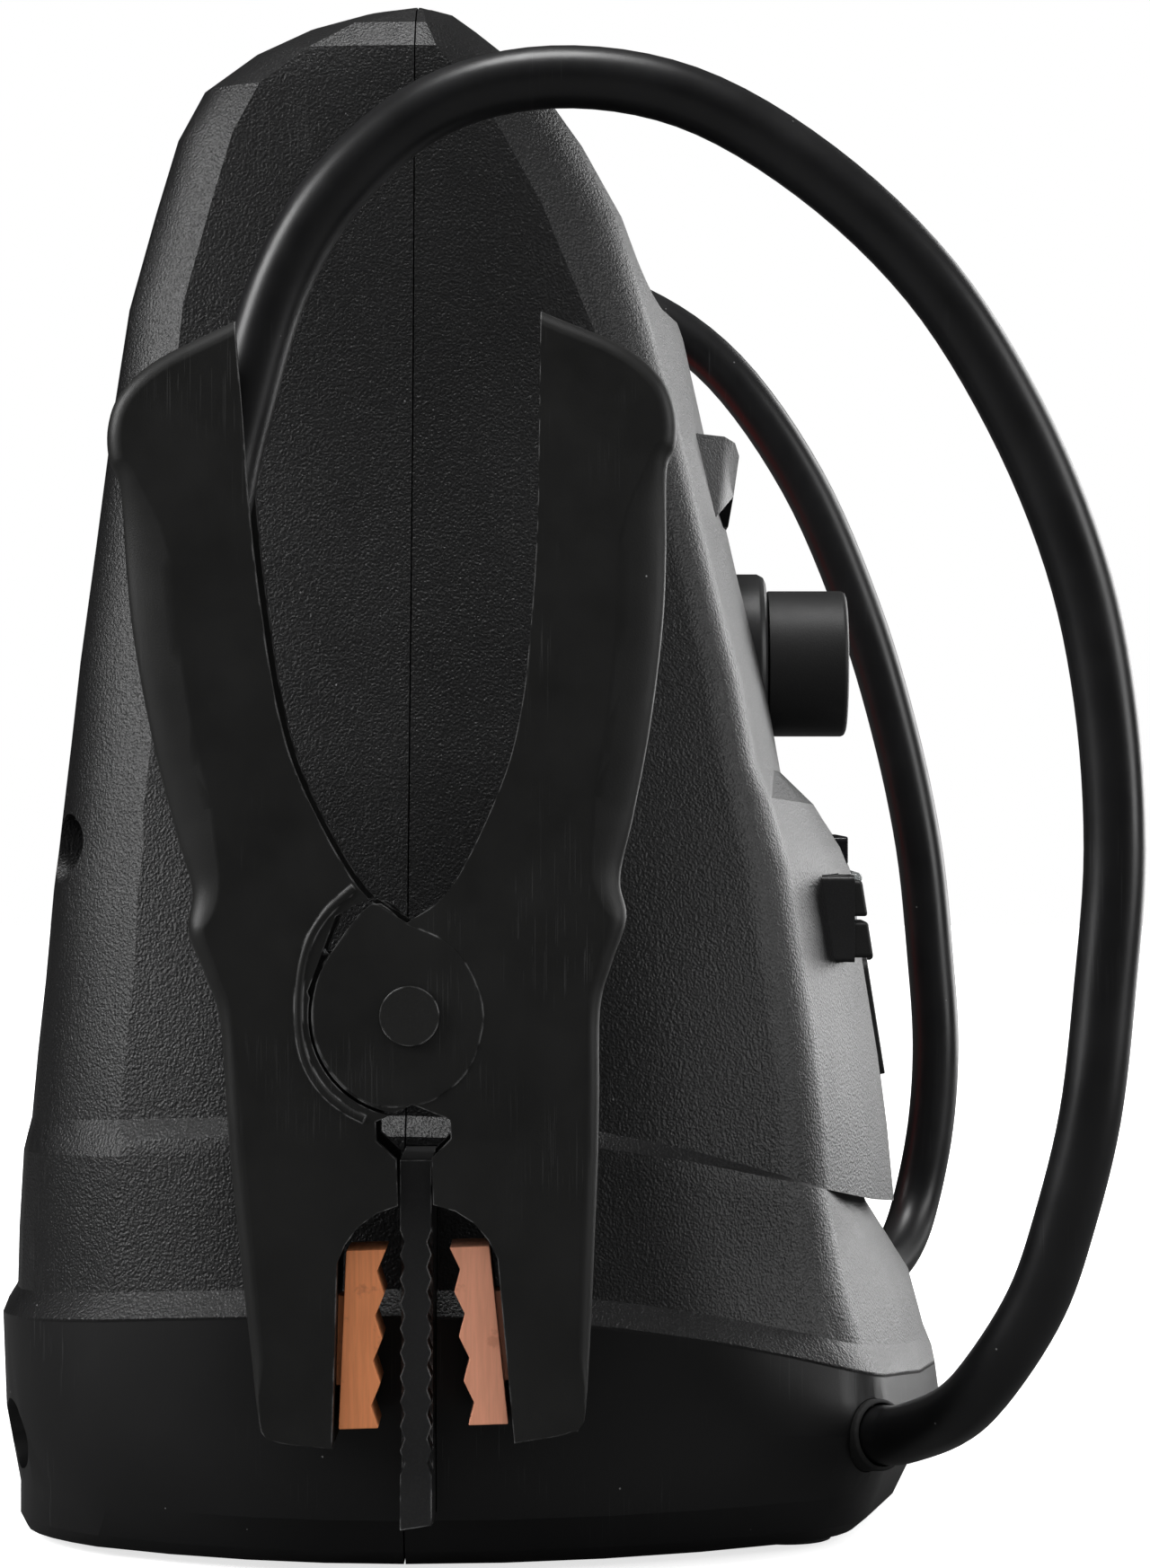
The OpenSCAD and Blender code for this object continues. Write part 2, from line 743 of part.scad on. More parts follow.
module usb_block() color([0.35, 0.35, 0.36])
    difference() {
        window(usb_x, flap_z, usb_w, usb_h, 0.8, front_face(0, flap_z) + flap_t + 3.4, board_y - 0.1);
        for (side = [-1, 1])
            translate([usb_x, front_face(0, flap_z), flap_z + side * 3.6])
                cube([13, 30, 4.6], center = true);
    }

module circuit_board() color([0.05, 0.3, 0.15])
    difference() {
        union() {
            block([-72, board_y, 92], [62, board_y + board_t, 152]);
            for (side = [-1, 1])
                translate([button_x - 3, board_y - 3.3, button_mid + side * button_pitch / 2 - 3])
                    cube([6, 3.4, 6]);
            block([-40, board_y + board_t, 128], [20, board_y + board_t + 10, 146]);
        }
        bar(outlet_x, flap_z, outlet_od + 2 * fit, -big / 2, big / 2);
    }

// --------------------------------------------------------------------------------------------------
// Battery and its leads

battery_y = 17;
battery_z = cavity_floor + seat;
battery_top = battery_z + battery_h;
terminal_x = battery_w / 2 - 18;
terminal_w = 14;
terminal_h = 12;

module battery() color([0.25, 0.26, 0.28])
    difference() {
        union() {
            block([-battery_w / 2, battery_y - battery_d / 2, battery_z],
                  [battery_w / 2, battery_y + battery_d / 2, battery_top - 4]);
            block([-battery_w / 2 + 1.5, battery_y - battery_d / 2 + 1.5, battery_top - 5],
                  [battery_w / 2 - 1.5, battery_y + battery_d / 2 - 1.5, battery_top]);
        }
        for (side = [-1, 1])
            translate([side * 40, battery_y, battery_top])
                cube([16, 60, 3], center = true);
    }

module battery_terminals() color([0.8, 0.6, 0.2])
    for (side = [-1, 1])
        translate([side * terminal_x, battery_y - 12, battery_top]) {
            translate([-terminal_w / 2, -terminal_w / 2, 0])
                cube([terminal_w, terminal_w, terminal_h]);
            translate([0, 0, terminal_h])
                cylinder(d = 10, h = 3, $fn = 6);
        }

strap_w = 20;
strap_t = 1.5;
module battery_strap() color([0.5, 0.5, 0.52])
    side_extrude(strap_w)
        let(y0 = battery_y - battery_d / 2 - seat, y1 = battery_y + battery_d / 2 + seat,
            z0 = cavity_floor + 0.1, z1 = battery_top + seat, foot = 12)
            polygon([[y0 - foot, z0], [y0, z0], [y0, z1], [y1, z1], [y1, z0], [y1 + foot, z0],
                     [y1 + foot, z0 + strap_t],
                     [y1 + strap_t, z0 + strap_t], [y1 + strap_t, z1 + strap_t],
                     [y0 - strap_t, z1 + strap_t],
                     [y0 - strap_t, z0 + strap_t], [y0 - foot, z0 + strap_t]]);

module fuse() color([0.7, 0.15, 0.1])
    translate([14, battery_y + 4, battery_top + seat])
        union() {
            cube([34, 14, 9]);
            translate([4, 7, 9])
                cylinder(d = 6, h = 3);
            translate([30, 7, 9])
                cylinder(d = 6, h = 3);
        }

// --------------------------------------------------------------------------------------------------
// Tubes swept along routes

function spline(a, b, c, d, t) =
    0.5 * (2 * b + (c - a) * t + (2 * a - 5 * b + 4 * c - d) * t * t + (3 * b - a - 3 * c + d) * t * t * t);

// Points along a route, a number of steps to each stretch
function route_points(p, steps) =
    let(n = len(p) - 1)
    concat([for (i = [0:n - 1]) for (k = [0:steps - 1])
                let(before = i > 0 ? p[i - 1] : 2 * p[0] - p[1],
                    after = i < n - 1 ? p[i + 2] : 2 * p[n] - p[n - 1])
                spline(before, p[i], p[i + 1], after, k / steps)],
           [p[n]]);

function unit(v) = v / norm(v);

// Directions square to the way that are carried along it without twist
function carried(way, a, i = 0) =
    i >= len(way) ? [] : let(b = unit(a - (a * way[i]) * way[i])) concat([b], carried(way, b, i + 1));

// Tube of even diameter along a stretch of points. Its rings are square to the way, and both ends are
// closed.
module tube(points, d, sides, first = 0, last = undef) {
    n = len(points);
    way = [for (i = [0:n - 1]) unit(points[min(i + 1, n - 1)] - points[max(i - 1, 0)])];
    across = carried(way, unit(cross(way[0], [0.3, 0.5, 0.8])));
    end = is_undef(last) ? n - 1 : last;
    rings = [for (i = [first:end]) for (k = [0:sides - 1])
        let(a = 360 * k / sides)
        points[i] + d / 2 / cos(90 / sides) * (cos(a) * across[i] + sin(a) * cross(way[i], across[i]))];
    m = end - first;
    skin = [for (i = [0:m - 1]) for (k = [0:sides - 1])
        let(a = i * sides + k, b = i * sides + (k + 1) % sides)
        each [[a, b + sides, b], [a, a + sides, b + sides]]];
    ends = [for (k = [1:sides - 2]) each [[0, k, k + 1], [m * sides, m * sides + k + 1, m * sides + k]]];
    polyhedron(rings, concat(skin, ends));
}

// --------------------------------------------------------------------------------------------------
// Storage posts: a slab through the wall with a foot behind it, and a toothed edge that the clamp grips

post_pitch = 4.9;
POST_TEETH = 10;
post_bite = 0.9;
rack_low = 25;
rack_depth = 8;
module post() {
    low_y = post_y - post_t / 2;
    high_y = post_y + post_t / 2;
    union() {
        block([-post_reach + rack_depth, low_y, post_low], [-post_root, high_y, post_high]);
        block([-post_root, post_y - post_foot_w + post_t / 2, post_low + 13],
              [-post_root + 4, high_y, post_high - 6]);
        translate([-post_reach, 0, 0])
            rotate([90, 0, 90])
                linear_extrude(rack_depth)
                    polygon(concat(
                        [[low_y, post_low + 1], [high_y, post_low]],
                        [for (k = [0:POST_TEETH - 1]) each [[high_y, rack_low + k * post_pitch],
                            [high_y - post_bite, rack_low + (k + 0.5) * post_pitch]]],
                        [[high_y, rack_low + POST_TEETH * post_pitch], [high_y, post_high],
                         [low_y, post_high],
                         [low_y, rack_low + POST_TEETH * post_pitch]],
                        [for (k = [POST_TEETH - 1:-1:0]) each [[low_y + post_bite,
                                                                rack_low + (k + 0.5) * post_pitch],
                            [low_y, rack_low + k * post_pitch]]]));
    }
}

module near_post() color([0.12, 0.12, 0.12])
    post();

module far_post() color([0.12, 0.12, 0.12])
    mirror([1, 0, 0])
        post();

// --------------------------------------------------------------------------------------------------
// Clamps. A clamp is drawn in its own frame, with the rivet along X at the origin, the handles up and the
// front half on the -Y side. Outlines are [distance in front of the rivet, height above it].

clamp_x = -(body_w / 2 + 1.5 + clamp_t / 2);
clamp_lean = -1.8;
rivet_z = 117;
neck_drop = 33;
rivet_y = post_y - neck_drop * sin(clamp_lean);
ear_r = 19.5;
ear_t = 2.6;
inner_ear_r = 16.5;
neck_half = post_t / 2 + seat;

module clamp_place() {
    translate([clamp_x, rivet_y, rivet_z])
        rotate([clamp_lean, 0, 0])
            children();
}

HALF_OUTER = [[30, 139.3], [46, 132], [53.6, 125.6], [56.4, 119], [56.4, 112], [54.4, 106.5], [53.8, 90],
              [52.6, 75],
              [49.4, 55], [45.6, 38], [42.6, 26], [43.6, 18], [40.4, 9], [37.8, 0], [37, -19], [35.8, -39],
              [32.4, -79.5], [29.5, -83.6], [18, -85.5]];
JAW_EDGE = [[15.9, -48.6], [14.2, -45], [11.6, -41.6], [7.8, -39]];
HANDLE_EDGE = [[0, 18.4], [9.1, 25.3], [19.4, 44.8], [24, 60], [26.6, 78], [28.7, 102]];

function facing(p) = [for (q = p) [-q[0], q[1]]];

// Leaf-shaped ear: a disc with a corner that runs up beside the other handle, under the notch between the
// handles
EAR_CORNER = [-6.8, 22.9];
EAR_SHOULDER = [-16.9, 11];
EAR_ARC = [178, 60];
EAR_STEPS = 24;
ear_gap = 0.6;
EAR_EDGE = concat([for (k = [0:EAR_STEPS])
                       let(a = mix(EAR_ARC[0], EAR_ARC[1], k / EAR_STEPS)) ear_r * [-sin(a), cos(a)]],
                  [EAR_SHOULDER, EAR_CORNER]);

// Outline of one half; the ear, which only the front half has, reaches past the rivet to the rear
module half_outline_2d(with_ear) {
    polygon(facing(concat(HALF_OUTER, JAW_EDGE, [[neck_half, -37.6], [neck_half, -28], [0, -28]],
                          with_ear ? EAR_EDGE : [], HANDLE_EDGE)));
}

// Window below the ears that the two halves share
module neck_window() {
    polygon([[0, -17.6], [7.4, -20.8], [7.4, -24.6], [neck_half, -28.4], [-neck_half, -28.4], [-7.4, -24.6],
             [-7.4, -20.8]]);
}

// Hollow of the handle and the jaw, open to the inside
module channel_2d() {
    polygon(facing([[28, 150], [44, 129], [50.4, 123.2], [53.2, 118], [53.2, 113], [51.2, 107.5],
                    [50.6, 90], [49.4, 75],
                    [46.2, 55.6], [42.4, 38], [39.4, 26.4], [36.2, 12], [34.6, 0], [33.8, -19],
                    [33.2, -38], [-4, -38],
                    [-4, 40], [10, 80], [12, 150]]));
}

// The ear by itself, in the frame of the front half, with a gap all round
module ear_2d(gap) {
    scale(1 + gap / ear_r)
        polygon(facing(concat([[3, -19.5]], EAR_EDGE, [HANDLE_EDGE[0], [3, 18.4]])));
}

// What the ear of the front half sweeps as it turns from rest to the end of its travel
module ear_sweep_2d() {
    corner_r = norm(EAR_CORNER) + ear_gap;
    corner_at = atan2(-EAR_CORNER[0], EAR_CORNER[1]);
    circle(ear_r + ear_gap);
    for (turn = [0, clamp_swing])
        rotate(turn)
            mirror([1, 0, 0])
                ear_2d(ear_gap);
    intersection() {
        circle(corner_r);
        polygon([[0, 0], for (a = [0, 0.5, 1.02])
            2 * corner_r * [-sin(corner_at + a * clamp_swing), cos(corner_at + a * clamp_swing)]]);
    }
}

module clamp_half(is_front) {
    difference() {
        side_extrude(clamp_t)
            difference() {
                half_outline_2d(is_front);
                if (!is_front)
                    ear_sweep_2d();
                neck_window();
            }
        side_extrude(clamp_t - 2 * ear_t)
            union() {
                channel_2d();
                circle(ear_r + ear_gap);
                ear_2d(ear_gap);
            }
        axle(0, 0, rivet_d + 2 * running, -clamp_t, clamp_t);
        tenon(tenon_fit);
    }
}

// Inner ears of the rear half, between the outer ears of the front half
module inner_ears() {
    difference() {
        side_extrude(clamp_t - 2 * ear_t - 0.8)
            union() {
                circle(inner_ear_r);
                polygon([[0, -12], [0, 12], [24, 13], [36, 6], [36, -14], [24, -14]]);
            }
        side_extrude(clamp_t - 4 * ear_t - 0.8)
            square(200, center = true);
        axle(0, 0, rivet_d + 2 * running, -clamp_t, clamp_t);
    }
}

module rear_half() {
    union() {
        mirror([0, 1, 0])
            clamp_half(false);
        inner_ears();
        spring_rest();
    }
}

module rivet() {
    head_d = rivet_d + 4;
    union() {
        axle(0, 0, rivet_d, -clamp_t / 2 - 0.2, clamp_t / 2 + 0.2);
        axle(0, 0, head_d, -clamp_t / 2 - 1.2, -clamp_t / 2 - 0.1);
        axle(0, 0, head_d, clamp_t / 2 + 0.1, clamp_t / 2 + 1.2);
    }
}

// Copper jaw: a thick bar with four notches along its inner edge, and a tenon into the plastic
JAW_TOP = -46.6;
JAW_LOW = -82.2;
JAW_NOTCHES = 4;
jaw_bite = 2;
jaw_lean = 0.0744;
tenon_w = 8;
tenon_deep = 5;
tenon_fit = 0.1;
TENON_TOP = -56;
TENON_LOW = -74;
function jaw_back(v) = 14.3 + (-v - 46.6) * jaw_lean;
function jaw_front(v) = 6.3 + (-v - 46.6) * jaw_lean;
module jaw_2d() {
    pitch = (JAW_TOP - JAW_LOW) / JAW_NOTCHES;
    polygon(facing(concat(
        [[jaw_back(JAW_LOW), JAW_LOW], [jaw_back(JAW_TOP), JAW_TOP]],
        [for (k = [0:JAW_NOTCHES - 1]) let(v = JAW_TOP - k * pitch)
            each [[jaw_front(v), v], [jaw_front(v) + jaw_bite, v - pitch / 2]]],
        [[jaw_front(JAW_LOW), JAW_LOW]])));
}

// Tenon on the back of the jaw, or with grow the socket for it in the plastic
module tenon(grow) {
    side_extrude(tenon_w + 2 * grow)
        polygon(facing([[jaw_back(TENON_TOP) - past, TENON_TOP + grow],
                        [jaw_back(TENON_TOP) + tenon_deep + grow, TENON_TOP + grow],
                        [jaw_back(TENON_LOW) + tenon_deep + grow, TENON_LOW - grow],
                        [jaw_back(TENON_LOW) - past, TENON_LOW - grow]]));
}

module jaw() {
    union() {
        side_extrude(jaw_t)
            jaw_2d();
        tenon(0);
    }
}

// Torsion spring: one unbroken wire with its rear leg, wound round the rivet
wire_d = 2;
coil_r = rivet_d / 2 + 3;
LEG_ANGLE = 55;
COIL_TURNS = 3 + 2 * LEG_ANGLE / 360;
COIL_STEPS = 8;
coil_pitch = 2.5;
coil_half = COIL_TURNS * coil_pitch / 2;
rear_leg = 23;
arm_len = 60;
function coil_point(turn) =
    let(a = LEG_ANGLE - 90 - 360 * turn)
    [-coil_half + coil_pitch * turn, coil_r * cos(a), coil_r * sin(a)];
COIL = [for (k = [0:ceil(COIL_TURNS * COIL_STEPS)]) coil_point(min(k / COIL_STEPS, COIL_TURNS))];
LEG = [for (k = [3:-1:1]) COIL[0] + rear_leg * k / 3 * [0, cos(LEG_ANGLE), sin(LEG_ANGLE)]];
coil_gap = min([for (i = [0:len(COIL) - 1]) for (j = [i + 6:1:len(COIL) - 1])
                norm(COIL[i] - COIL[j])]) - wire_d;
echo(least_gap_of_the_spring_to_itself = coil_gap);

module spring() {
    tube(concat(LEG, COIL), wire_d, 6);
}

// Arm of the spring that presses on the front handle and swings with it
module spring_arm() {
    root = coil_point(COIL_TURNS);
    way = [0, -cos(LEG_ANGLE), sin(LEG_ANGLE)];
    tube([for (k = [0:3]) root + mix(seat, arm_len, k / 3) * way], wire_d, 6);
}

// Bar across the rear half on which the fixed leg of the spring rests
spring_rest_d = 2.6;
module spring_rest() {
    reach = rear_leg - 1.5;
    off = wire_d / 2 + spring_rest_d / 2 + seat / 2;
    axle(coil_r * sin(LEG_ANGLE) + reach * cos(LEG_ANGLE) + off * sin(LEG_ANGLE),
         -coil_r * cos(LEG_ANGLE) + reach * sin(LEG_ANGLE) - off * cos(LEG_ANGLE),
         spring_rest_d, -clamp_t / 2 + 1, clamp_t / 2 - 1);
}

// Lead that runs down the hollow of the rear handle to the jaw, written in the clamp's frame
LEAD_IN_HANDLE = [[0, 31, 120], [0, 35, 104], [0, 39.5, 84], [0, 38.5, 62], [0, 34.5, 40], [0, 29, 16],
                  [0, 27, -6],
                  [0, 26, -37.6]];
function to_world(p) =
    [clamp_x + p[0], rivet_y + p[1] * cos(clamp_lean) - p[2] * sin(clamp_lean),
     rivet_z + p[1] * sin(clamp_lean) + p[2] * cos(clamp_lean)];
LEAD_ROUTE = [for (p = LEAD_IN_HANDLE) to_world(p)];

// --------------------------------------------------------------------------------------------------
// Cables. One route runs from inside the housing, out through the gland and down the handle to the jaw.

way_out = unit(GLAND_WAY);
flip_x = [[-1, 0, 0], [0, 1, 0], [0, 0, 1]];

// Each free cable's route, from its gland to the handle that it enters. The far one is written with +X.
NEAR_ROUTE = concat([GLAND_AT, GLAND_AT + 8 * way_out], [
    [-135, -101, 33], [-146, -108, 43], [-153, -116, 58], [-157, -121, 74], [-160, -126, 96],
    [-160, -129, 122],
    [-160, -131, 150], [-160, -129, 180], [-160, -123, 208], [-160, -111, 237], [-160, -94, 264],
    [-160, -71, 286],
    [-160, -45, 301], [-160, -18, 305], [-160, 6, 299], [-160, 25, 283], [-159, 37, 263]]);
FAR_ROUTE = concat([flip_x * GLAND_AT, flip_x * (GLAND_AT + 8 * way_out)], [
    [137, -103, 31], [150, -111, 38], [158, -116, 50], [160, -120, 70], [160, -121.3, 92],
    [160, -119.8, 116],
    [160, -116.7, 146], [160, -110, 178], [160, -100, 211], [160, -84.8, 246], [160, -63.6, 276],
    [160, -40, 293],
    [160, -16, 299], [160, 6, 294], [160, 25, 279], [159, 37, 260]]);
cable_sides = 10;
cable_steps = 2;

// Routes inside the housing, from a terminal or a switch stud to the gland
terminal_face = battery_y - 12 - terminal_w / 2;
lead_in = GLAND_AT - (gland_len + 12) * way_out;
NEAR_INSIDE = [[-terminal_x, terminal_face - lug_gap, battery_top + 7],
               [-terminal_x, terminal_face - 10, battery_top + 8],
               [-76, -27, battery_top + 6], [-82, -38, battery_top - 8], [-87, -46, 112], [-91, -52, 90],
               [-93, -60, 46], lead_in,
               GLAND_AT - gland_len * way_out];
FAR_INSIDE = [[4 + lug_gap, -18.4, 202], [20, -18.4, 202], [52, -34, 184], [80, -46, 148],
              [90, -52, 100], [93, -60, 46],
              flip_x * lead_in, flip_x * (GLAND_AT - gland_len * way_out)];
LINK = [[terminal_x, terminal_face - lug_gap, battery_top + 7],
        [terminal_x, terminal_face - 8, battery_top + 7],
        [70, -17, battery_top + 13], [60, -19, 170], [40, -20, 180], [18, -20, 181.5],
        [4 + lug_gap, -20, 181.5]];

NEAR_WAY = route_points(concat(NEAR_INSIDE, NEAR_ROUTE, LEAD_ROUTE), cable_steps);
FAR_WAY = route_points(concat(FAR_INSIDE, FAR_ROUTE, [for (p = LEAD_ROUTE) flip_x * p]), cable_steps);
near_gland_at = cable_steps * len(NEAR_INSIDE);
near_handle_at = near_gland_at + cable_steps * len(NEAR_ROUTE);
far_gland_at = cable_steps * len(FAR_INSIDE);
far_handle_at = far_gland_at + cable_steps * len(FAR_ROUTE);

module near_cable() color([0.07, 0.07, 0.07])
    tube(NEAR_WAY, cable_d, cable_sides, near_gland_at, near_handle_at);

module far_cable() color([0.07, 0.07, 0.07])
    tube(FAR_WAY, cable_d, cable_sides, far_gland_at, far_handle_at);

// Sleeve round the cable where it leaves, with a flange that stops it behind the wall
module gland() {
    translate(GLAND_AT)
        aim(way_out)
            rotate_extrude()
                polygon([[lead_d / 2 + lead_fit, -gland_len], [gland_d / 2 + gland_flange, -gland_len],
                         [gland_d / 2 + gland_flange, -gland_len + 4], [gland_d / 2, -gland_len + 4],
                         [gland_d / 2, gland_out - 0.5], [gland_d / 2 - 0.5, gland_out],
                         [lead_d / 2 + lead_fit, gland_out]]);
}

module near_gland() color([0.05, 0.05, 0.05])
    gland();

module far_gland() color([0.05, 0.05, 0.05])
    mirror([1, 0, 0])
        gland();

module near_inner_lead() color([0.07, 0.07, 0.07])
    tube(NEAR_WAY, lead_d, cable_sides, 0, near_gland_at);

module far_inner_lead() color([0.6, 0.1, 0.1])
    tube(FAR_WAY, lead_d, cable_sides, 0, far_gland_at);

module switch_link() color([0.6, 0.1, 0.1])
    tube(route_points(LINK, 2), 9, 8);

// --------------------------------------------------------------------------------------------------
// Pieces of the two clamps in place

plastic_near = [0.13, 0.13, 0.13];
plastic_far = [0.65, 0.07, 0.06];
copper = [0.72, 0.42, 0.26];
steel = [0.7, 0.7, 0.71];

module near_rear_half() color(plastic_near) clamp_place() rear_half();
module near_front_half() color(plastic_near) clamp_place() clamp_half(true);
module near_rivet() color(steel) clamp_place() rivet();
module near_spring() color(steel) clamp_place() spring();
module near_spring_arm() color(steel) clamp_place() spring_arm();
module near_rear_jaw() color(copper) clamp_place() mirror([0, 1, 0]) jaw();
module near_front_jaw() color(copper) clamp_place() jaw();
module near_clamp_lead() color([0.07, 0.07, 0.07]) tube(NEAR_WAY, lead_d, cable_sides, near_handle_at);

module far_rear_half() color(plastic_far) mirror([1, 0, 0]) clamp_place() rear_half();
module far_front_half() color(plastic_far) mirror([1, 0, 0]) clamp_place() clamp_half(true);
module far_rivet() color(steel) mirror([1, 0, 0]) clamp_place() rivet();
module far_spring() color(steel) mirror([1, 0, 0]) clamp_place() spring();
module far_spring_arm() color(steel) mirror([1, 0, 0]) clamp_place() spring_arm();
module far_rear_jaw() color(copper) mirror([1, 0, 0]) clamp_place() mirror([0, 1, 0]) jaw();
module far_front_jaw() color(copper) mirror([1, 0, 0]) clamp_place() jaw();
module far_clamp_lead() color([0.07, 0.07, 0.07]) tube(FAR_WAY, lead_d, cable_sides, far_handle_at);

rear_shell();
front_shell();
feet();
rear_screws();
lamp_housing();
lamp_reflector();
lamp_board();
lamp_lens();
knob_bezel();
switch_knob();
switch_shaft();
switch_body();
indicator_window();
status_lights();
button_bezel();
upper_button();
lower_button();
port_flap();
outlet_socket();
usb_block();
circuit_board();
battery();
battery_terminals();
battery_strap();
fuse();
near_inner_lead();
far_inner_lead();
switch_link();
near_post();
far_post();
near_gland();
far_gland();
near_cable();
far_cable();
near_rear_half();
near_front_half();
near_rivet();
near_spring();
near_spring_arm();
near_rear_jaw();
near_front_jaw();
near_clamp_lead();
far_rear_half();
far_front_half();
far_rivet();
far_spring();
far_spring_arm();
far_rear_jaw();
far_front_jaw();
far_clamp_lead();
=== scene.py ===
"""Looks of the jump starter pack: detailed pieces, materials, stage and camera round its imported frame."""

import json
import math
from math import cos, radians, sin

import bmesh
import bpy
from mathutils import Matrix, Vector

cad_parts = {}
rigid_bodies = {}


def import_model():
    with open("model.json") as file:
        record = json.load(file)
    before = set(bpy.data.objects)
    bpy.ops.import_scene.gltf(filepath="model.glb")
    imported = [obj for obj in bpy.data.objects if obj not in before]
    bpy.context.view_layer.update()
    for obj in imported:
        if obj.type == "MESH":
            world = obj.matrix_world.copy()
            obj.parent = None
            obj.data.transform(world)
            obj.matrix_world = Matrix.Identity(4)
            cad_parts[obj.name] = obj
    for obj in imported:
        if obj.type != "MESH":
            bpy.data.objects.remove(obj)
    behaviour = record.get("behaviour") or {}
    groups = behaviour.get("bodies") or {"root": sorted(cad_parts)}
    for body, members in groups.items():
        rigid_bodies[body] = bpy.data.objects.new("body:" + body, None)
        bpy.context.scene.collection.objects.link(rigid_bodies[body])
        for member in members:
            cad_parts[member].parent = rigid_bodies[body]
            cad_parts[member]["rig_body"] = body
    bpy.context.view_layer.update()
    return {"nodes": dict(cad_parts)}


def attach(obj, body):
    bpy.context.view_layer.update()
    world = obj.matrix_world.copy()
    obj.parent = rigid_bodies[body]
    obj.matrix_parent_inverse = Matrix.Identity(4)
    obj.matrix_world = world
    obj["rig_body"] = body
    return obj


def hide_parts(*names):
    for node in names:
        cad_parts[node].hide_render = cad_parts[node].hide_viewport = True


bl_info = {
    "name": "Jump starter pack",
    "version": (1, 0, 0),
    "blender": (4, 5, 0),
    "location": "View3D > Sidebar > Jump starter",
    "description": "Builds the looks of a jump starter pack with two clamps round its frame",
    "category": "Object",
}

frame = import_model()
NODES = frame["nodes"]
MM = 0.001

# ---------------------------------------------------------------------------------------------------
# Routes and places shared with the frame, in metres

# The camera faces +X, and most lights face the middle of the pack
CAMERA_AT = (-1.04, -0.0226, 0.163)
MIDDLE = (0, 0, 0.17)

# The seam between the shells, the lower ledge's height there, and its reach and drop towards each end
SEAM_Y = 0.0125
LEDGE_HEIGHT = 0.0535
LEDGE_TO_REAR = (0.0935, 0.006)
LEDGE_TO_FRONT = (0.1195, 0.024)

# Corners of the lamp pod past this x are moved to the x of POD_SIDE, those also before this y to its y, and those also
# under this z to its z
POD_CORNER = (0.0475, -0.05, 0.236)
POD_SIDE = (0.060, -0.0516, 0.2195)
# Three points of the facet on the pod's upper corner towards +X
POD_FACET = ((0.0496, -0.0538, 0.2341), (0.0409, -0.0595, 0.2419), (0.0485, -0.0521, 0.2424))

GLAND_AT = Vector((-0.111, -0.087, 0.025))
GLAND_WAY = Vector((-0.77, -0.62, 0.14)).normalized()
CLAMP_AT = Vector((-0.1585, 0.0101866, 0.117))
CLAMP_LEAN = radians(-1.8)

# Lead in the hollow of the rear handle, in the clamp's own frame: across, to the rear, up
LEAD_IN_HANDLE = [
    (0, 0.031, 0.120), (0, 0.035, 0.104), (0, 0.0395, 0.084), (0, 0.0385, 0.062),
    (0, 0.0345, 0.040), (0, 0.029, 0.016), (0, 0.027, -0.006), (0, 0.026, -0.0376),
]
# Free part of each cable, from its gland to the clamp's handle
NEAR_FREE = [
    (-0.135, -0.101, 0.033), (-0.146, -0.108, 0.043), (-0.153, -0.116, 0.058), (-0.157, -0.121, 0.074),
    (-0.160, -0.126, 0.096), (-0.160, -0.129, 0.122), (-0.160, -0.131, 0.150), (-0.160, -0.129, 0.180),
    (-0.160, -0.123, 0.208), (-0.160, -0.111, 0.237), (-0.160, -0.094, 0.264), (-0.160, -0.071, 0.286),
    (-0.160, -0.045, 0.301), (-0.160, -0.018, 0.305), (-0.160, 0.006, 0.299), (-0.160, 0.025, 0.283),
    (-0.159, 0.037, 0.263),
]
FAR_FREE = [
    (0.137, -0.103, 0.031), (0.150, -0.111, 0.038), (0.158, -0.116, 0.050), (0.160, -0.120, 0.070),
    (0.160, -0.1213, 0.092), (0.160, -0.1198, 0.116), (0.160, -0.1167, 0.146), (0.160, -0.110, 0.178),
    (0.160, -0.100, 0.211), (0.160, -0.0848, 0.246), (0.160, -0.0636, 0.276), (0.160, -0.040, 0.293),
    (0.160, -0.016, 0.299), (0.160, 0.006, 0.294), (0.160, 0.025, 0.279), (0.159, 0.037, 0.260),
]

# Outline of a clamp half from the top of its inner edge over the outside to the nose, then the inner edge of its
# handle: distance from the rivet's plane and height above it, in millimetres
CLAMP_OUTLINE = [
    (30, 139.3), (46, 132), (53.6, 125.6), (56.4, 119), (56.4, 112), (54.4, 106.5), (53.8, 90), (52.6, 75),
    (49.4, 55), (45.6, 38), (42.6, 26), (43.6, 18), (40.4, 9), (37.8, 0), (37, -19), (35.8, -39), (32.4, -79.5),
    (29.5, -83.6), (18, -85.5),
]
CLAMP_INNER = [(0, 18.4), (9.1, 25.3), (19.4, 44.8), (24, 60), (26.6, 78), (28.7, 102), (30, 139.3)]

# Rounding of that outline at a height: how far in it starts, how deep it goes, and how flat it slopes
CLAMP_ROUNDING = [
    (-86, 0.3, 0.3, 0), (-77, 0.3, 0.3, 0), (-68, 3, 3, 0), (8, 3.2, 3.2, 0), (18, 3.8, 3.6, 0.3), (27, 6.5, 4.4, 0.8),
    (40, 9, 4.8, 1), (92, 10, 5, 1), (100, 8, 4.6, 0.8), (107, 4.5, 3.8, 0.25), (112, 3.6, 3.6, 0), (140, 3.2, 3.2, 0),
]
# Steps of that rounding, from the flat side to the outline
ROUNDING_LEVELS = [0, 0.12, 0.28, 0.46, 0.64, 0.8, 0.91, 0.97, 1]

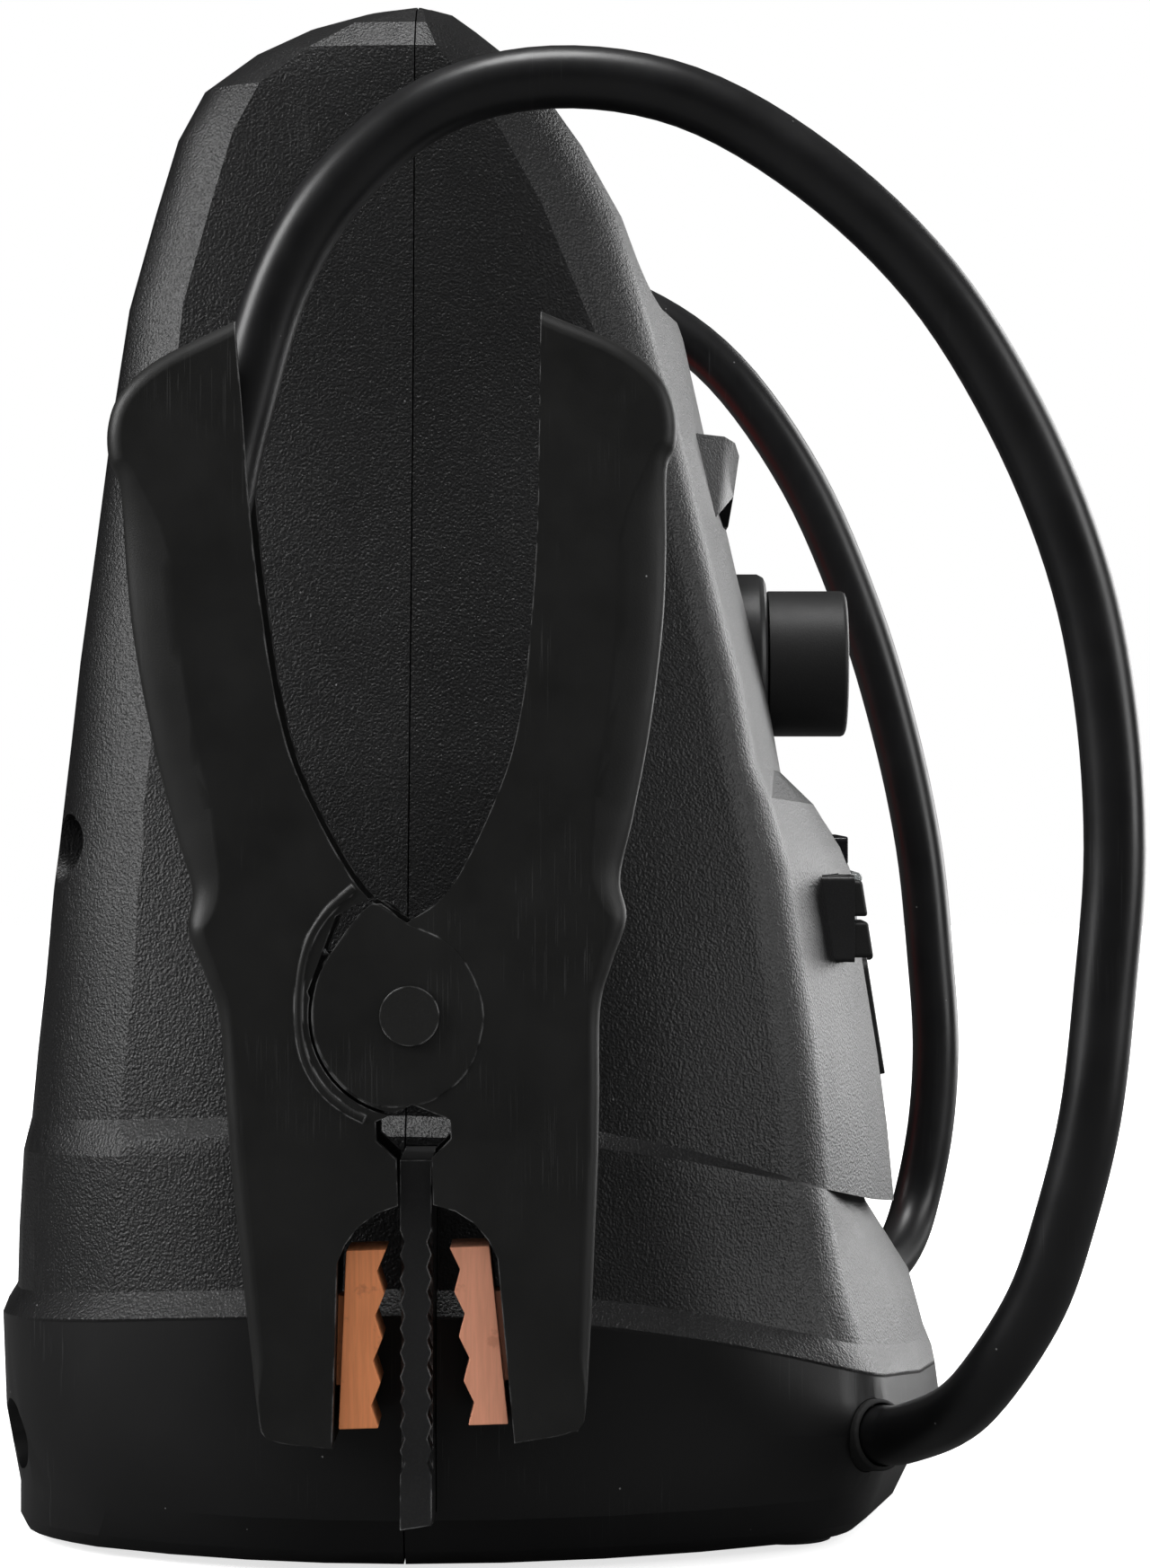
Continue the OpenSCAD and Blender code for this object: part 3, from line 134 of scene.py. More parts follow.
# Raised rim round the ear on the rear half, and the outline of the raised leaf on the front half
EAR_RIM = [
    (10.2, 25.8), (15.2, 21.6), (18.8, 16.8), (20.9, 11), (21.9, 4), (21.9, -3), (20.6, -9), (17.6, -14.2),
    (13.4, -18), (9.6, -20.2),
]
LEAF = [
    (0, 18.2), (7.4, 14.6), (12.2, 8.6), (14.6, -0.3), (11.6, -10.4), (5.6, -15.9), (0.3, -17.6), (-8, -17.3),
    (-14.6, -12.2), (-18.6, -4.6), (-19, 3.2), (-16.5, 10.9), (-6.9, 22.4),
]

# Across a clamp, in millimetres from its middle: its flat side, the leaf's two faces, and the rim's centre line
CLAMP_SIDE = 13.02
LEAF_FACES = (12.4, 13.2)
RIM_ACROSS = 12.55
RIM_RADIUS = 0.00095
# Corners that close the envelope and the gap between the handles beyond the clamp, in millimetres
ENVELOPE_TOP = (-45, 173.5)
ENVELOPE_FOOT = (-45, -96)
GAP_TOP = [(30.4, 150), (0, 150)]


def clamp_matrix(side):
    """Clamp's frame to the pack's: side -1 is the near clamp, 1 the far one. Local axes are across, rear, up."""
    place = Matrix.Translation(CLAMP_AT) @ Matrix.Rotation(CLAMP_LEAN, 4, "X")
    return place if side < 0 else Matrix.Scale(-1, 4, (1, 0, 0)) @ place


def spline_points(points, steps):
    """Points on the smooth curve through the given ones, with the steps in each stretch."""
    p = [Vector(q) for q in points]
    p = [2 * p[0] - p[1]] + p + [2 * p[-1] - p[-2]]
    out = []
    for i in range(1, len(p) - 2):
        a, b, c, d = p[i - 1], p[i], p[i + 1], p[i + 2]
        for k in range(steps):
            t = k / steps
            out.append(
                0.5 * (2 * b + (c - a) * t + (2 * a - 5 * b + 4 * c - d) * t * t
                       + (3 * b - a - 3 * c + d) * t ** 3)
            )
    return out + [p[-2].copy()]


def flat_curve(outline, steps):
    """Points on the smooth curve through a flat outline."""
    return [(p.x, p.y) for p in spline_points([(u, v, 0) for u, v in outline], steps)]


# ---------------------------------------------------------------------------------------------------
# Settings


class StageSettings(bpy.types.PropertyGroup):
    """Light and camera"""

    lens: bpy.props.FloatProperty(
        name="Lens", description="Focal length of the camera", default=100.58, unit="CAMERA"
    )
    key: bpy.props.FloatProperty(
        name="Key light", description="Power of the light behind the pack", default=18.0, min=0, unit="POWER"
    )
    front: bpy.props.FloatProperty(
        name="Front light", description="Power of the light on the front", default=13.5, min=0, unit="POWER"
    )
    top: bpy.props.FloatProperty(
        name="Top light", description="Power of the light overhead", default=14.0, min=0, unit="POWER"
    )
    fill: bpy.props.FloatProperty(
        name="Fill light", description="Power of the weak light before the pack", default=7.0, min=0, unit="POWER"
    )
    room: bpy.props.FloatProperty(
        name="Room light", description="Level of the even light on matt surfaces", default=0.8, min=0
    )


class HousingSettings(bpy.types.PropertyGroup):
    """Moulded housing"""

    colour: bpy.props.FloatVectorProperty(
        name="Plastic", description="Colour of the housing", subtype="COLOR", size=4,
        default=(0.0052, 0.0052, 0.0054, 1),
    )
    grain: bpy.props.FloatProperty(
        name="Grain", description="Size of the moulded grain", default=0.0005, unit="LENGTH", precision=5
    )
    edge: bpy.props.FloatProperty(
        name="Edge", description="Radius of the moulded edges", default=0.0005, unit="LENGTH", precision=5
    )


class ClampSettings(bpy.types.PropertyGroup):
    """Clamps"""

    near_colour: bpy.props.FloatVectorProperty(
        name="Near clamp", description="Colour of the negative clamp", subtype="COLOR", size=4,
        default=(0.0085, 0.0085, 0.0081, 1),
    )
    far_colour: bpy.props.FloatVectorProperty(
        name="Far clamp", description="Colour of the positive clamp", subtype="COLOR", size=4,
        default=(0.36, 0.012, 0.008, 1),
    )
    copper: bpy.props.FloatVectorProperty(
        name="Copper", description="Colour of the jaws", subtype="COLOR", size=4, default=(1.0, 0.37, 0.15, 1)
    )


class CableSettings(bpy.types.PropertyGroup):
    """Cables"""

    diameter: bpy.props.FloatProperty(
        name="Diameter", description="Diameter over the jacket", default=0.0126, unit="LENGTH", precision=4
    )
    colour: bpy.props.FloatVectorProperty(
        name="Jacket", description="Colour of the jacket", subtype="COLOR", size=4, default=(0.006, 0.006, 0.0065, 1)
    )


# ---------------------------------------------------------------------------------------------------
# Shader groups


def new_group(name, inputs, outputs):
    """Empty node group with its sockets, and the nodes at its two ends."""
    tree = bpy.data.node_groups.new(name, "ShaderNodeTree")
    for label, kind, value in inputs:
        socket = tree.interface.new_socket(label, in_out="INPUT", socket_type=kind)
        if value is not None:
            socket.default_value = value
    for label, kind in outputs:
        tree.interface.new_socket(label, in_out="OUTPUT", socket_type=kind)
    return tree, tree.nodes.new("NodeGroupInput"), tree.nodes.new("NodeGroupOutput")


def feed(tree, socket, value):
    """Links a socket to another one, or sets its value."""
    if isinstance(value, bpy.types.NodeSocket):
        tree.links.new(value, socket)
    else:
        socket.default_value = value


def put(tree, kind, values=None, **settings):
    """Adds a node, sets its properties, and feeds its inputs."""
    node = tree.nodes.new(kind)
    for key, value in settings.items():
        setattr(node, key, value)
    for key, value in (values or {}).items():
        feed(tree, node.inputs[key], value)
    return node


def maths(tree, operation, a, b=None):
    """Result of a Math node."""
    values = {0: a} if b is None else {0: a, 1: b}
    return put(tree, "ShaderNodeMath", values, operation=operation).outputs[0]


def span(tree, value, low, high, to_low=0.0, to_high=1.0, smooth=True):
    """The value carried from one range to another, and kept inside it."""
    kind = "SMOOTHSTEP" if smooth else "LINEAR"
    values = {"Value": value, "From Min": low, "From Max": high, "To Min": to_low, "To Max": to_high}
    return put(tree, "ShaderNodeMapRange", values, interpolation_type=kind).outputs[0]


def grain_group():
    """Moulded grain: short worn pebbles, as height and as a tone that paints a highlight on their raised tops."""
    tree, start, end = new_group(
        "Moulded grain",
        [("Vector", "NodeSocketVector", None), ("Size", "NodeSocketFloat", 0.0006)],
        [("Height", "NodeSocketFloat"), ("Highlight painted on tops", "NodeSocketFloat")],
    )
    scale = maths(tree, "DIVIDE", 1.0, start.outputs["Size"])
    fine = put(
        tree, "ShaderNodeTexNoise",
        {"Vector": start.outputs["Vector"], "Scale": scale, "Detail": 2.5, "Roughness": 0.6, "Distortion": 0.15},
    ).outputs[0]
    pebble = put(
        tree, "ShaderNodeTexVoronoi",
        {"Vector": start.outputs["Vector"], "Scale": maths(tree, "MULTIPLY", scale, 0.8), "Smoothness": 0.7},
        feature="SMOOTH_F1",
    ).outputs["Distance"]
    height = maths(tree, "ADD", maths(tree, "MULTIPLY", fine, 0.7), maths(tree, "MULTIPLY", pebble, 0.5))
    tree.links.new(height, end.inputs["Height"])
    # Painted highlight: this output marks the grain's raised tops to be made lighter, as if they caught the light
    tree.links.new(span(tree, height, 0.45, 0.85), end.inputs["Highlight painted on tops"])
    return tree


def scuff_group():
    """Fine scratches in a few directions, gathered in patches."""
    tree, start, end = new_group(
        "Scuffs",
        [("Vector", "NodeSocketVector", None), ("Level", "NodeSocketFloat", 0.69)],
        [("Mask", "NodeSocketFloat")],
    )
    patches = put(
        tree, "ShaderNodeTexNoise", {"Vector": start.outputs["Vector"], "Scale": 38.0, "Detail": 2.0}
    ).outputs[0]
    patches = span(tree, patches, 0.5, 0.68)
    found = None
    for turn, stretch in ((0.35, (60, 3000, 48)), (-0.3, (48, 3400, 60)), (0.95, (70, 3200, 52))):
        place = put(
            tree, "ShaderNodeMapping",
            {"Vector": start.outputs["Vector"], "Rotation": (turn, turn * 0.3, turn * 0.5), "Scale": stretch},
        ).outputs[0]
        line = put(tree, "ShaderNodeTexNoise", {"Vector": place, "Scale": 1.0, "Detail": 1.0}).outputs[0]
        line = maths(tree, "GREATER_THAN", line, start.outputs["Level"])
        found = line if found is None else maths(tree, "MAXIMUM", found, line)
    tree.links.new(maths(tree, "MULTIPLY", found, patches), end.inputs["Mask"])
    return tree


def dust_group():
    """A few pale specks of dust."""
    tree, start, end = new_group(
        "Dust",
        [("Vector", "NodeSocketVector", None), ("Share", "NodeSocketFloat", 0.12)],
        [("Mask", "NodeSocketFloat")],
    )
    cells = put(
        tree, "ShaderNodeTexVoronoi", {"Vector": start.outputs["Vector"], "Scale": 330.0, "Randomness": 1.0}
    )
    speck = span(tree, cells.outputs["Distance"], 0.09, 0.05)
    chance = put(tree, "ShaderNodeSeparateColor", {0: cells.outputs["Color"]}).outputs[0]
    chosen = maths(tree, "LESS_THAN", chance, start.outputs["Share"])
    tree.links.new(maths(tree, "MULTIPLY", speck, chosen), end.inputs["Mask"])
    return tree


def mottle_group():
    """Broad uneven tone, as left by handling and by the mould."""
    tree, start, end = new_group(
        "Mottle",
        [("Vector", "NodeSocketVector", None), ("Scale", "NodeSocketFloat", 45.0)],
        [("Value", "NodeSocketFloat")],
    )
    broad = put(
        tree, "ShaderNodeTexNoise",
        {"Vector": start.outputs["Vector"], "Scale": start.outputs["Scale"], "Detail": 4.0, "Roughness": 0.6},
    ).outputs[0]
    tree.links.new(span(tree, broad, 0.3, 0.7, smooth=False), end.inputs["Value"])
    return tree


def edge_group():
    """Mask of the convex and concave edges within a given reach, broken up a little, for pale wear and a painted edge
    highlight.
    """
    tree, start, end = new_group(
        "Worn and highlighted edges",
        [("Vector", "NodeSocketVector", None), ("Reach", "NodeSocketFloat", 0.0004)],
        [("Mask", "NodeSocketFloat")],
    )
    rounded = put(tree, "ShaderNodeBevel", {"Radius": start.outputs["Reach"]}, samples=6).outputs[0]
    flat = put(tree, "ShaderNodeNewGeometry").outputs["Normal"]
    same = put(tree, "ShaderNodeVectorMath", {0: rounded, 1: flat}, operation="DOT_PRODUCT").outputs["Value"]
    turned = span(tree, same, 0.985, 0.9)
    breaks = put(
        tree, "ShaderNodeTexNoise", {"Vector": start.outputs["Vector"], "Scale": 260.0, "Detail": 3.0}
    ).outputs[0]
    tree.links.new(maths(tree, "MULTIPLY", turned, span(tree, breaks, 0.4, 0.6)), end.inputs["Mask"])
    return tree


GROUP_MAKERS = {
    "Moulded grain": grain_group,
    "Scuffs": scuff_group,
    "Dust": dust_group,
    "Mottle": mottle_group,
    "Worn and highlighted edges": edge_group,
}


def group_node(tree, name, values):
    """Places a shared group in a material, building it the first time."""
    made = bpy.data.node_groups.get(name) or GROUP_MAKERS[name]()
    return put(tree, "ShaderNodeGroup", values, node_tree=made)


# ---------------------------------------------------------------------------------------------------
# Materials

# How far from an edge its pale wear and painted highlight show, in metres
EDGE_PALE_REACH = 0.0005


def start_material(name, **constants):
    """New material with its tree, its shader and the object's own coordinates."""
    made = bpy.data.materials.new(name)
    made.use_nodes = True
    tree = made.node_tree
    shader = tree.nodes["Principled BSDF"]
    for key, value in constants.items():
        shader.inputs[key.replace("_", " ")].default_value = value
    where = tree.nodes.new("ShaderNodeTexCoord").outputs["Object"]
    return made, tree, shader, where


def tint(tree, base, other, mask):
    """Colour that goes from base to other with the mask."""
    node = put(tree, "ShaderNodeMix", data_type="RGBA", clamp_factor=True)
    for key, value in (("Factor", mask), ("A", base), ("B", other)):
        feed(tree, next(s for s in node.inputs if s.name == key and (key == "Factor" or s.type == "RGBA")), value)
    return next(s for s in node.outputs if s.type == "RGBA")


def grey(value):
    """Grey of the given level."""
    return (value, value, value, 1.0)


def times(colour, factor):
    """A colour made lighter or darker."""
    return tuple(c * factor for c in colour[:3]) + (1,)


def bumped(tree, shader, height, distance):
    """Gives the shader a relief, the height times the distance in metres."""
    bump = put(tree, "ShaderNodeBump", {"Height": height, "Distance": distance, "Strength": 1.0})
    tree.links.new(bump.outputs[0], shader.inputs["Normal"])


def moulded_plastic(name, colour, grain, depth, rough, edge_wear_and_highlight=0.0, dust=0.0, pale=0.05):
    """Moulded plastic with its grain, a painted highlight on the grain's raised tops, uneven sheen, edges lightened as
    wear and as a painted highlight, and dust.
    """
    made, tree, shader, where = start_material(name, Specular_IOR_Level=0.45)
    grains = group_node(tree, "Moulded grain", {"Vector": where, "Size": grain})
    mottle = group_node(tree, "Mottle", {"Vector": where, "Scale": 30.0}).outputs[0]
    base = tint(tree, colour, times(colour, 1.35), mottle)
    # Painted highlight: the grain's raised tops are made lighter, as if lit
    base = tint(tree, base, times(colour, 1.5), grains.outputs["Highlight painted on tops"])
    # Painted highlight as well as wear: edges within reach are lightened towards the pale grey
    if edge_wear_and_highlight:
        edge = group_node(tree, "Worn and highlighted edges", {"Vector": where, "Reach": EDGE_PALE_REACH}).outputs[0]
        base = tint(tree, base, grey(pale), maths(tree, "MULTIPLY", edge, edge_wear_and_highlight))
    if dust:
        specks = group_node(tree, "Dust", {"Vector": where, "Share": dust}).outputs[0]
        base = tint(tree, base, grey(0.22), maths(tree, "MULTIPLY", specks, 0.8))
    tree.links.new(base, shader.inputs["Base Color"])
    tree.links.new(span(tree, mottle, 0, 1, rough - 0.05, rough + 0.05, smooth=False), shader.inputs["Roughness"])
    bumped(tree, shader, grains.outputs["Height"], depth)
    return made


def housing_plastic(colour, grain):
    """Housing plastic: coarse grain above the lower ledge and a satin face below it."""
    made, tree, shader, where = start_material("Housing plastic", Specular_IOR_Level=0.45)
    place = put(tree, "ShaderNodeSeparateXYZ", {0: where})
    from_seam = maths(tree, "SUBTRACT", place.outputs["Y"], SEAM_Y)
    at_rear = maths(tree, "GREATER_THAN", from_seam, 0.0)
    at_front = maths(tree, "SUBTRACT", 1.0, at_rear)
    drops = []
    for half, (reach, drop) in ((at_rear, LEDGE_TO_REAR), (at_front, LEDGE_TO_FRONT)):
        share = maths(tree, "POWER", maths(tree, "DIVIDE", from_seam, reach), 2.0)
        drops.append(maths(tree, "MULTIPLY", maths(tree, "MULTIPLY", share, drop), half))
    ledge = maths(tree, "SUBTRACT", LEDGE_HEIGHT, maths(tree, "ADD", *drops))
    above = maths(tree, "SUBTRACT", place.outputs["Z"], ledge)
    grained = span(tree, above, -0.0003, 0.0004)
    grains = group_node(tree, "Moulded grain", {"Vector": where, "Size": grain})
    satin = group_node(tree, "Moulded grain", {"Vector": where, "Size": grain * 0.35})
    mottle = group_node(tree, "Mottle", {"Vector": where, "Scale": 22.0}).outputs[0]
    base = tint(tree, colour, times(colour, 1.25), mottle)
    # Painted highlight: above the ledge the grain's raised tops are made lighter, as if lit
    tone = maths(tree, "MULTIPLY", grains.outputs["Highlight painted on tops"], grained)
    base = tint(tree, base, times(colour, 1.9), tone)
    specks = group_node(tree, "Dust", {"Vector": where, "Share": 0.02}).outputs[0]
    base = tint(tree, base, grey(0.16), specks)
    scuffs = group_node(tree, "Scuffs", {"Vector": where, "Level": 0.73}).outputs[0]
    base = tint(tree, base, grey(0.06), maths(tree, "MULTIPLY", scuffs, 0.35))
    tree.links.new(base, shader.inputs["Base Color"])
    rough = maths(
        tree, "ADD", span(tree, grained, 0, 1, 0.36, 0.34, smooth=False), maths(tree, "MULTIPLY", mottle, 0.05)
    )
    tree.links.new(rough, shader.inputs["Roughness"])
    height = maths(
        tree, "ADD",
        maths(tree, "MULTIPLY", grains.outputs["Height"], maths(tree, "MULTIPLY", grained, 0.00023)),
        maths(tree, "MULTIPLY", satin.outputs["Height"], 0.000012),
    )
    bumped(tree, shader, height, 1.0)
    return made


def clamp_plastic(name, colour, pale):
    """Smooth clamp plastic with fine scratches, dust, and pale edges that are partly wear and partly a painted
    highlight.
    """
    made, tree, shader, where = start_material(name, Specular_IOR_Level=0.42)
    mottle = group_node(tree, "Mottle", {"Vector": where, "Scale": 60.0}).outputs[0]
    base = tint(tree, colour, times(colour, 1.3), mottle)
    scuffs = group_node(tree, "Scuffs", {"Vector": where, "Level": 0.70}).outputs[0]
    base = tint(tree, base, pale, maths(tree, "MULTIPLY", scuffs, 0.12))
    # Painted highlight as well as wear: the edges are lightened towards the pale colour
    edge = group_node(tree, "Worn and highlighted edges", {"Vector": where, "Reach": EDGE_PALE_REACH}).outputs[0]
    base = tint(tree, base, pale, edge)
    specks = group_node(tree, "Dust", {"Vector": where, "Share": 0.09}).outputs[0]
    base = tint(tree, base, grey(0.3), specks)
    tree.links.new(base, shader.inputs["Base Color"])
    rough = maths(tree, "ADD", span(tree, mottle, 0, 1, 0.42, 0.54, smooth=False), maths(tree, "MULTIPLY", scuffs, 0.1))
    tree.links.new(rough, shader.inputs["Roughness"])
    skin = group_node(tree, "Moulded grain", {"Vector": where, "Size": 0.0003})
    bumped(tree, shader, skin.outputs["Height"], 0.00002)
    return made


def brushed_metal(name, colour, rough, line, depth, stain=None, stain_share=0.0, metal=1.0):
    """Metal with fine lines, uneven sheen, and stains over a share of it where a stain is given."""
    made, tree, shader, where = start_material(name, Metallic=metal)
    place = put(tree, "ShaderNodeMapping", {"Vector": where, "Scale": line}).outputs[0]
    lines = put(tree, "ShaderNodeTexNoise", {"Vector": place, "Scale": 1.0, "Detail": 3.0, "Roughness": 0.6}).outputs[0]
    mottle = group_node(tree, "Mottle", {"Vector": where, "Scale": 140.0}).outputs[0]
    base = tint(tree, colour, times(colour, 0.86), span(tree, lines, 0.35, 0.65))
    if stain:
        spots = span(tree, mottle, 1 - stain_share, 1.0)
        base = tint(tree, base, stain, maths(tree, "MULTIPLY", spots, 0.5))
    tree.links.new(base, shader.inputs["Base Color"])
    rough_map = maths(
        tree, "ADD", span(tree, lines, 0.3, 0.7, rough - 0.06, rough + 0.06), maths(tree, "MULTIPLY", mottle, 0.08)
    )
    tree.links.new(rough_map, shader.inputs["Roughness"])
    bumped(tree, shader, lines, depth)
    return made


def cable_jacket(name, colour):
    """Smooth soft jacket with a satin sheen, faint drag lines and rub marks."""
    made, tree, shader, where = start_material(name, Specular_IOR_Level=0.5)
    mottle = group_node(tree, "Mottle", {"Vector": where, "Scale": 55.0}).outputs[0]
    base = tint(tree, colour, times(colour, 1.5), mottle)
    scuffs = group_node(tree, "Scuffs", {"Vector": where, "Level": 0.72}).outputs[0]
    rubbed = tuple(min(1, c * 2.5 + 0.02) for c in colour[:3]) + (1,)
    base = tint(tree, base, rubbed, maths(tree, "MULTIPLY", scuffs, 0.5))
    specks = group_node(tree, "Dust", {"Vector": where, "Share": 0.05}).outputs[0]
    base = tint(tree, base, grey(0.18), specks)
    tree.links.new(base, shader.inputs["Base Color"])
    tree.links.new(span(tree, mottle, 0, 1, 0.3, 0.4, smooth=False), shader.inputs["Roughness"])
    skin = group_node(tree, "Mottle", {"Vector": where, "Scale": 300.0}).outputs[0]
    bumped(tree, shader, skin, 0.000006)
    return made


def clear_plastic(name, colour, rough, weight, rib=None):
    """Clear or tinted moulding, ribbed inside where rib gives the pitch."""
    made, tree, shader, where = start_material(
        name, Transmission_Weight=weight, IOR=1.49, Roughness=rough, Base_Color=colour
    )
    skin = group_node(tree, "Mottle", {"Vector": where, "Scale": 420.0}).outputs[0]
    height = maths(tree, "MULTIPLY", skin, 0.00001)
    if rib:
        place = put(tree, "ShaderNodeSeparateXYZ", {0: where}).outputs["X"]
        wave = maths(tree, "SINE", maths(tree, "MULTIPLY", place, 2 * math.pi / rib))
        height = maths(tree, "ADD", height, maths(tree, "MULTIPLY", wave, 0.0002))
    bumped(tree, shader, height, 1.0)
    tree.links.new(tint(tree, colour, times(colour, 0.94), skin), shader.inputs["Base Color"])
    return made


# Moulded plastics and rubbers: name, colour, grain size, grain depth, roughness, then their edge lightening, which is
# wear and painted highlight, and dust
MOULDED = {
    "pod": ("Lamp pod plastic", (0.014, 0.014, 0.0145, 1), 0.0005, 0.00012, 0.38, {"edge_wear_and_highlight": 0.4}),
    "trim": ("Trim plastic", (0.016, 0.016, 0.0165, 1), 0.0003, 0.00003, 0.36, {"edge_wear_and_highlight": 0.5}),
    "knob": ("Knob plastic", (0.012, 0.012, 0.0122, 1), 0.0003, 0.00003, 0.5, {"edge_wear_and_highlight": 0.5, "dust": 0.02}),
    "button": ("Button rubber", (0.012, 0.012, 0.012, 1), 0.00025, 0.00002, 0.5, {"edge_wear_and_highlight": 0.3}),
    "flap": ("Flap rubber", (0.014, 0.014, 0.014, 1), 0.0003, 0.00003, 0.55, {"edge_wear_and_highlight": 0.3, "dust": 0.04}),
    "rubber": ("Foot rubber", (0.012, 0.012, 0.012, 1), 0.0008, 0.00008, 0.75, {"dust": 0.1}),
    "post": ("Post plastic", (0.014, 0.014, 0.0145, 1), 0.0004, 0.00004, 0.4, {"edge_wear_and_highlight": 1.0, "pale": 0.3}),
    "rivet": ("Rivet head", (0.011, 0.011, 0.0105, 1), 0.0004, 0.00002, 0.42, {"edge_wear_and_highlight": 1.0, "pale": 0.3}),
    "inner": ("Inner plastic", (0.05, 0.05, 0.052, 1), 0.0004, 0.00003, 0.45, {}),
    "socket": ("Socket plastic", (0.03, 0.03, 0.031, 1), 0.0003, 0.00002, 0.4, {"edge_wear_and_highlight": 0.4}),
    "battery": ("Battery case", (0.07, 0.072, 0.076, 1), 0.0008, 0.00006, 0.45, {}),
    "fuse": ("Fuse body", (0.35, 0.03, 0.02, 1), 0.0004, 0.00002, 0.35, {}),
    "board": ("Circuit board", (0.01, 0.07, 0.035, 1), 0.0012, 0.00003, 0.35, {}),
    "led": ("Lamp diodes", (0.75, 0.62, 0.2, 1), 0.0008, 0.00003, 0.4, {}),
}
# Metals: name, colour, roughness, closeness of the fine lines along each axis, and their depth
METALS = {
    "steel": ("Plated steel", (0.55, 0.55, 0.56, 1), 0.3, (900, 900, 900), 0.00001),
    "spring": ("Spring wire", (0.42, 0.42, 0.43, 1), 0.3, (700, 700, 700), 0.00001),
    "black_steel": ("Blackened steel", (0.05, 0.05, 0.052, 1), 0.45, (1200, 1200, 1200), 0.00001),
    "brass": ("Terminal brass", (0.72, 0.5, 0.22, 1), 0.3, (500, 500, 500), 0.00001),
    "mirror": ("Reflector coating", (0.86, 0.86, 0.87, 1), 0.12, (250, 250, 250), 0.000004),
}
# Jaw metal, matt and tarnished: name, factors on the copper colour, roughness, lines and tarnish
JAW_METALS = {
    "copper": ("Jaw copper", (1, 1, 1, 1), 0.66, (60, 900, 60), (0.45, 0.15, 0.07, 1)),
    # Painted reflection: a paler copy of the jaw copper for the front jaw, standing in for the pale light it reflects
    "pale_copper": ("Jaw copper with painted pale sheen", (1, 1.22, 1.9, 1), 0.62, (60, 700, 50), (0.6, 0.24, 0.14, 1)),
}
# Clear and smoked plastics: name, colour, roughness, transmission, and the pitch of the ribs
CLEARS = {
    "lens": ("Lamp lens", (0.96, 0.97, 0.98, 1), 0.04, 1.0, 0.004),
    "guide": ("Light guide", (0.86, 0.9, 0.9, 1), 0.15, 0.8),
    "window": ("Smoked window", (0.012, 0.012, 0.014, 1), 0.08, 0.0),
}


def make_finish(key):
    """Makes a material from the tables and the settings."""
    scene = bpy.context.scene
    housing, clamps, cables = scene.pack_housing, scene.pack_clamps, scene.pack_cables
    if key in MOULDED:
        *values, extras = MOULDED[key]
        return moulded_plastic(*values, **extras)
    if key in METALS:
        return brushed_metal(*METALS[key])
    if key in CLEARS:
        return clear_plastic(*CLEARS[key])
    if key in JAW_METALS:
        name, factors, rough, line, tarnish = JAW_METALS[key]
        colour = tuple(min(1, c * k) for c, k in zip(clamps.copper, factors))
        return brushed_metal(name, colour, rough, line, 0.00001, stain=tarnish, stain_share=0.2, metal=0.2)
    makers = {
        "housing": lambda: housing_plastic(tuple(housing.colour), housing.grain),
        "near_clamp": lambda: clamp_plastic("Negative clamp plastic", tuple(clamps.near_colour), grey(0.14)),
        "far_clamp": lambda: clamp_plastic("Positive clamp plastic", tuple(clamps.far_colour), (0.6, 0.18, 0.15, 1)),
        "jacket": lambda: cable_jacket("Cable jacket", tuple(cables.colour)),
        "red_jacket": lambda: cable_jacket("Red cable jacket", (0.38, 0.015, 0.01, 1)),
    }
    return makers[key]()


MATERIALS = {}


def finish_of(key):
    """The named material, made the first time that a piece needs it."""
    if key not in MATERIALS:
        MATERIALS[key] = make_finish(key)
    return MATERIALS[key]


# ---------------------------------------------------------------------------------------------------
# Making pieces


def mesh_from(name, bm):
    """A mesh made from the bmesh, which is freed."""
    mesh = bpy.data.meshes.new(name)
    bm.to_mesh(mesh)
    bm.free()
    return mesh


def add_object(name, data):
    """An object with the data, linked to the scene."""
    made = bpy.data.objects.new(name, data)
    bpy.context.scene.collection.objects.link(made)
    return made


def add_piece(name, bm, finish, body, replaced=(), angle=30, weighted=True):
    """Turns a bmesh into a piece that rides on a body and stands for the given nodes."""
    mesh = mesh_from(name, bm)
    # Normals carried over from a node would hide the edges that are marked sharp here
    carried = mesh.attributes.get("custom_normal")
    if carried:
        mesh.attributes.remove(carried)
    mesh.shade_smooth()
    mesh.set_sharp_from_angle(angle=radians(angle))
    piece = add_object(name, mesh)
    mesh.materials.append(finish_of(finish))
    if weighted:
        normals = piece.modifiers.new("Normals", "WEIGHTED_NORMAL")
        normals.keep_sharp = True
    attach(piece, body)
    if replaced:
        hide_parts(*replaced)
    return piece


def join(bm, other):
    """Adds the second bmesh to the first as shells of its own."""
    mesh = mesh_from("working", other)
    bm.from_mesh(mesh)
    bpy.data.meshes.remove(mesh)


def merged_copy(node, dissolve=0.4):
    """A node's mesh as a clean bmesh, with faces joined that turn by less than the angle dissolve."""
    bm = bmesh.new()
    bm.from_mesh(NODES[node].data)
    bmesh.ops.remove_doubles(bm, verts=bm.verts, dist=2e-6)
    if dissolve:
        bmesh.ops.dissolve_limit(
            bm, angle_limit=radians(dissolve), verts=bm.verts, edges=bm.edges, use_dissolve_boundaries=False
        )
    return bm


def bevel_sharp(bm, width, segments, angle):
    """Rounds the edges that turn by more than the angle."""
    edges = [e for e in bm.edges if len(e.link_faces) == 2 and e.calc_face_angle() > radians(angle)]
    bmesh.ops.bevel(
        bm, geom=edges, offset=width, offset_type="OFFSET", segments=segments, profile=0.5, affect="EDGES",
        material=-1, clamp_overlap=True, loop_slide=True,
    )


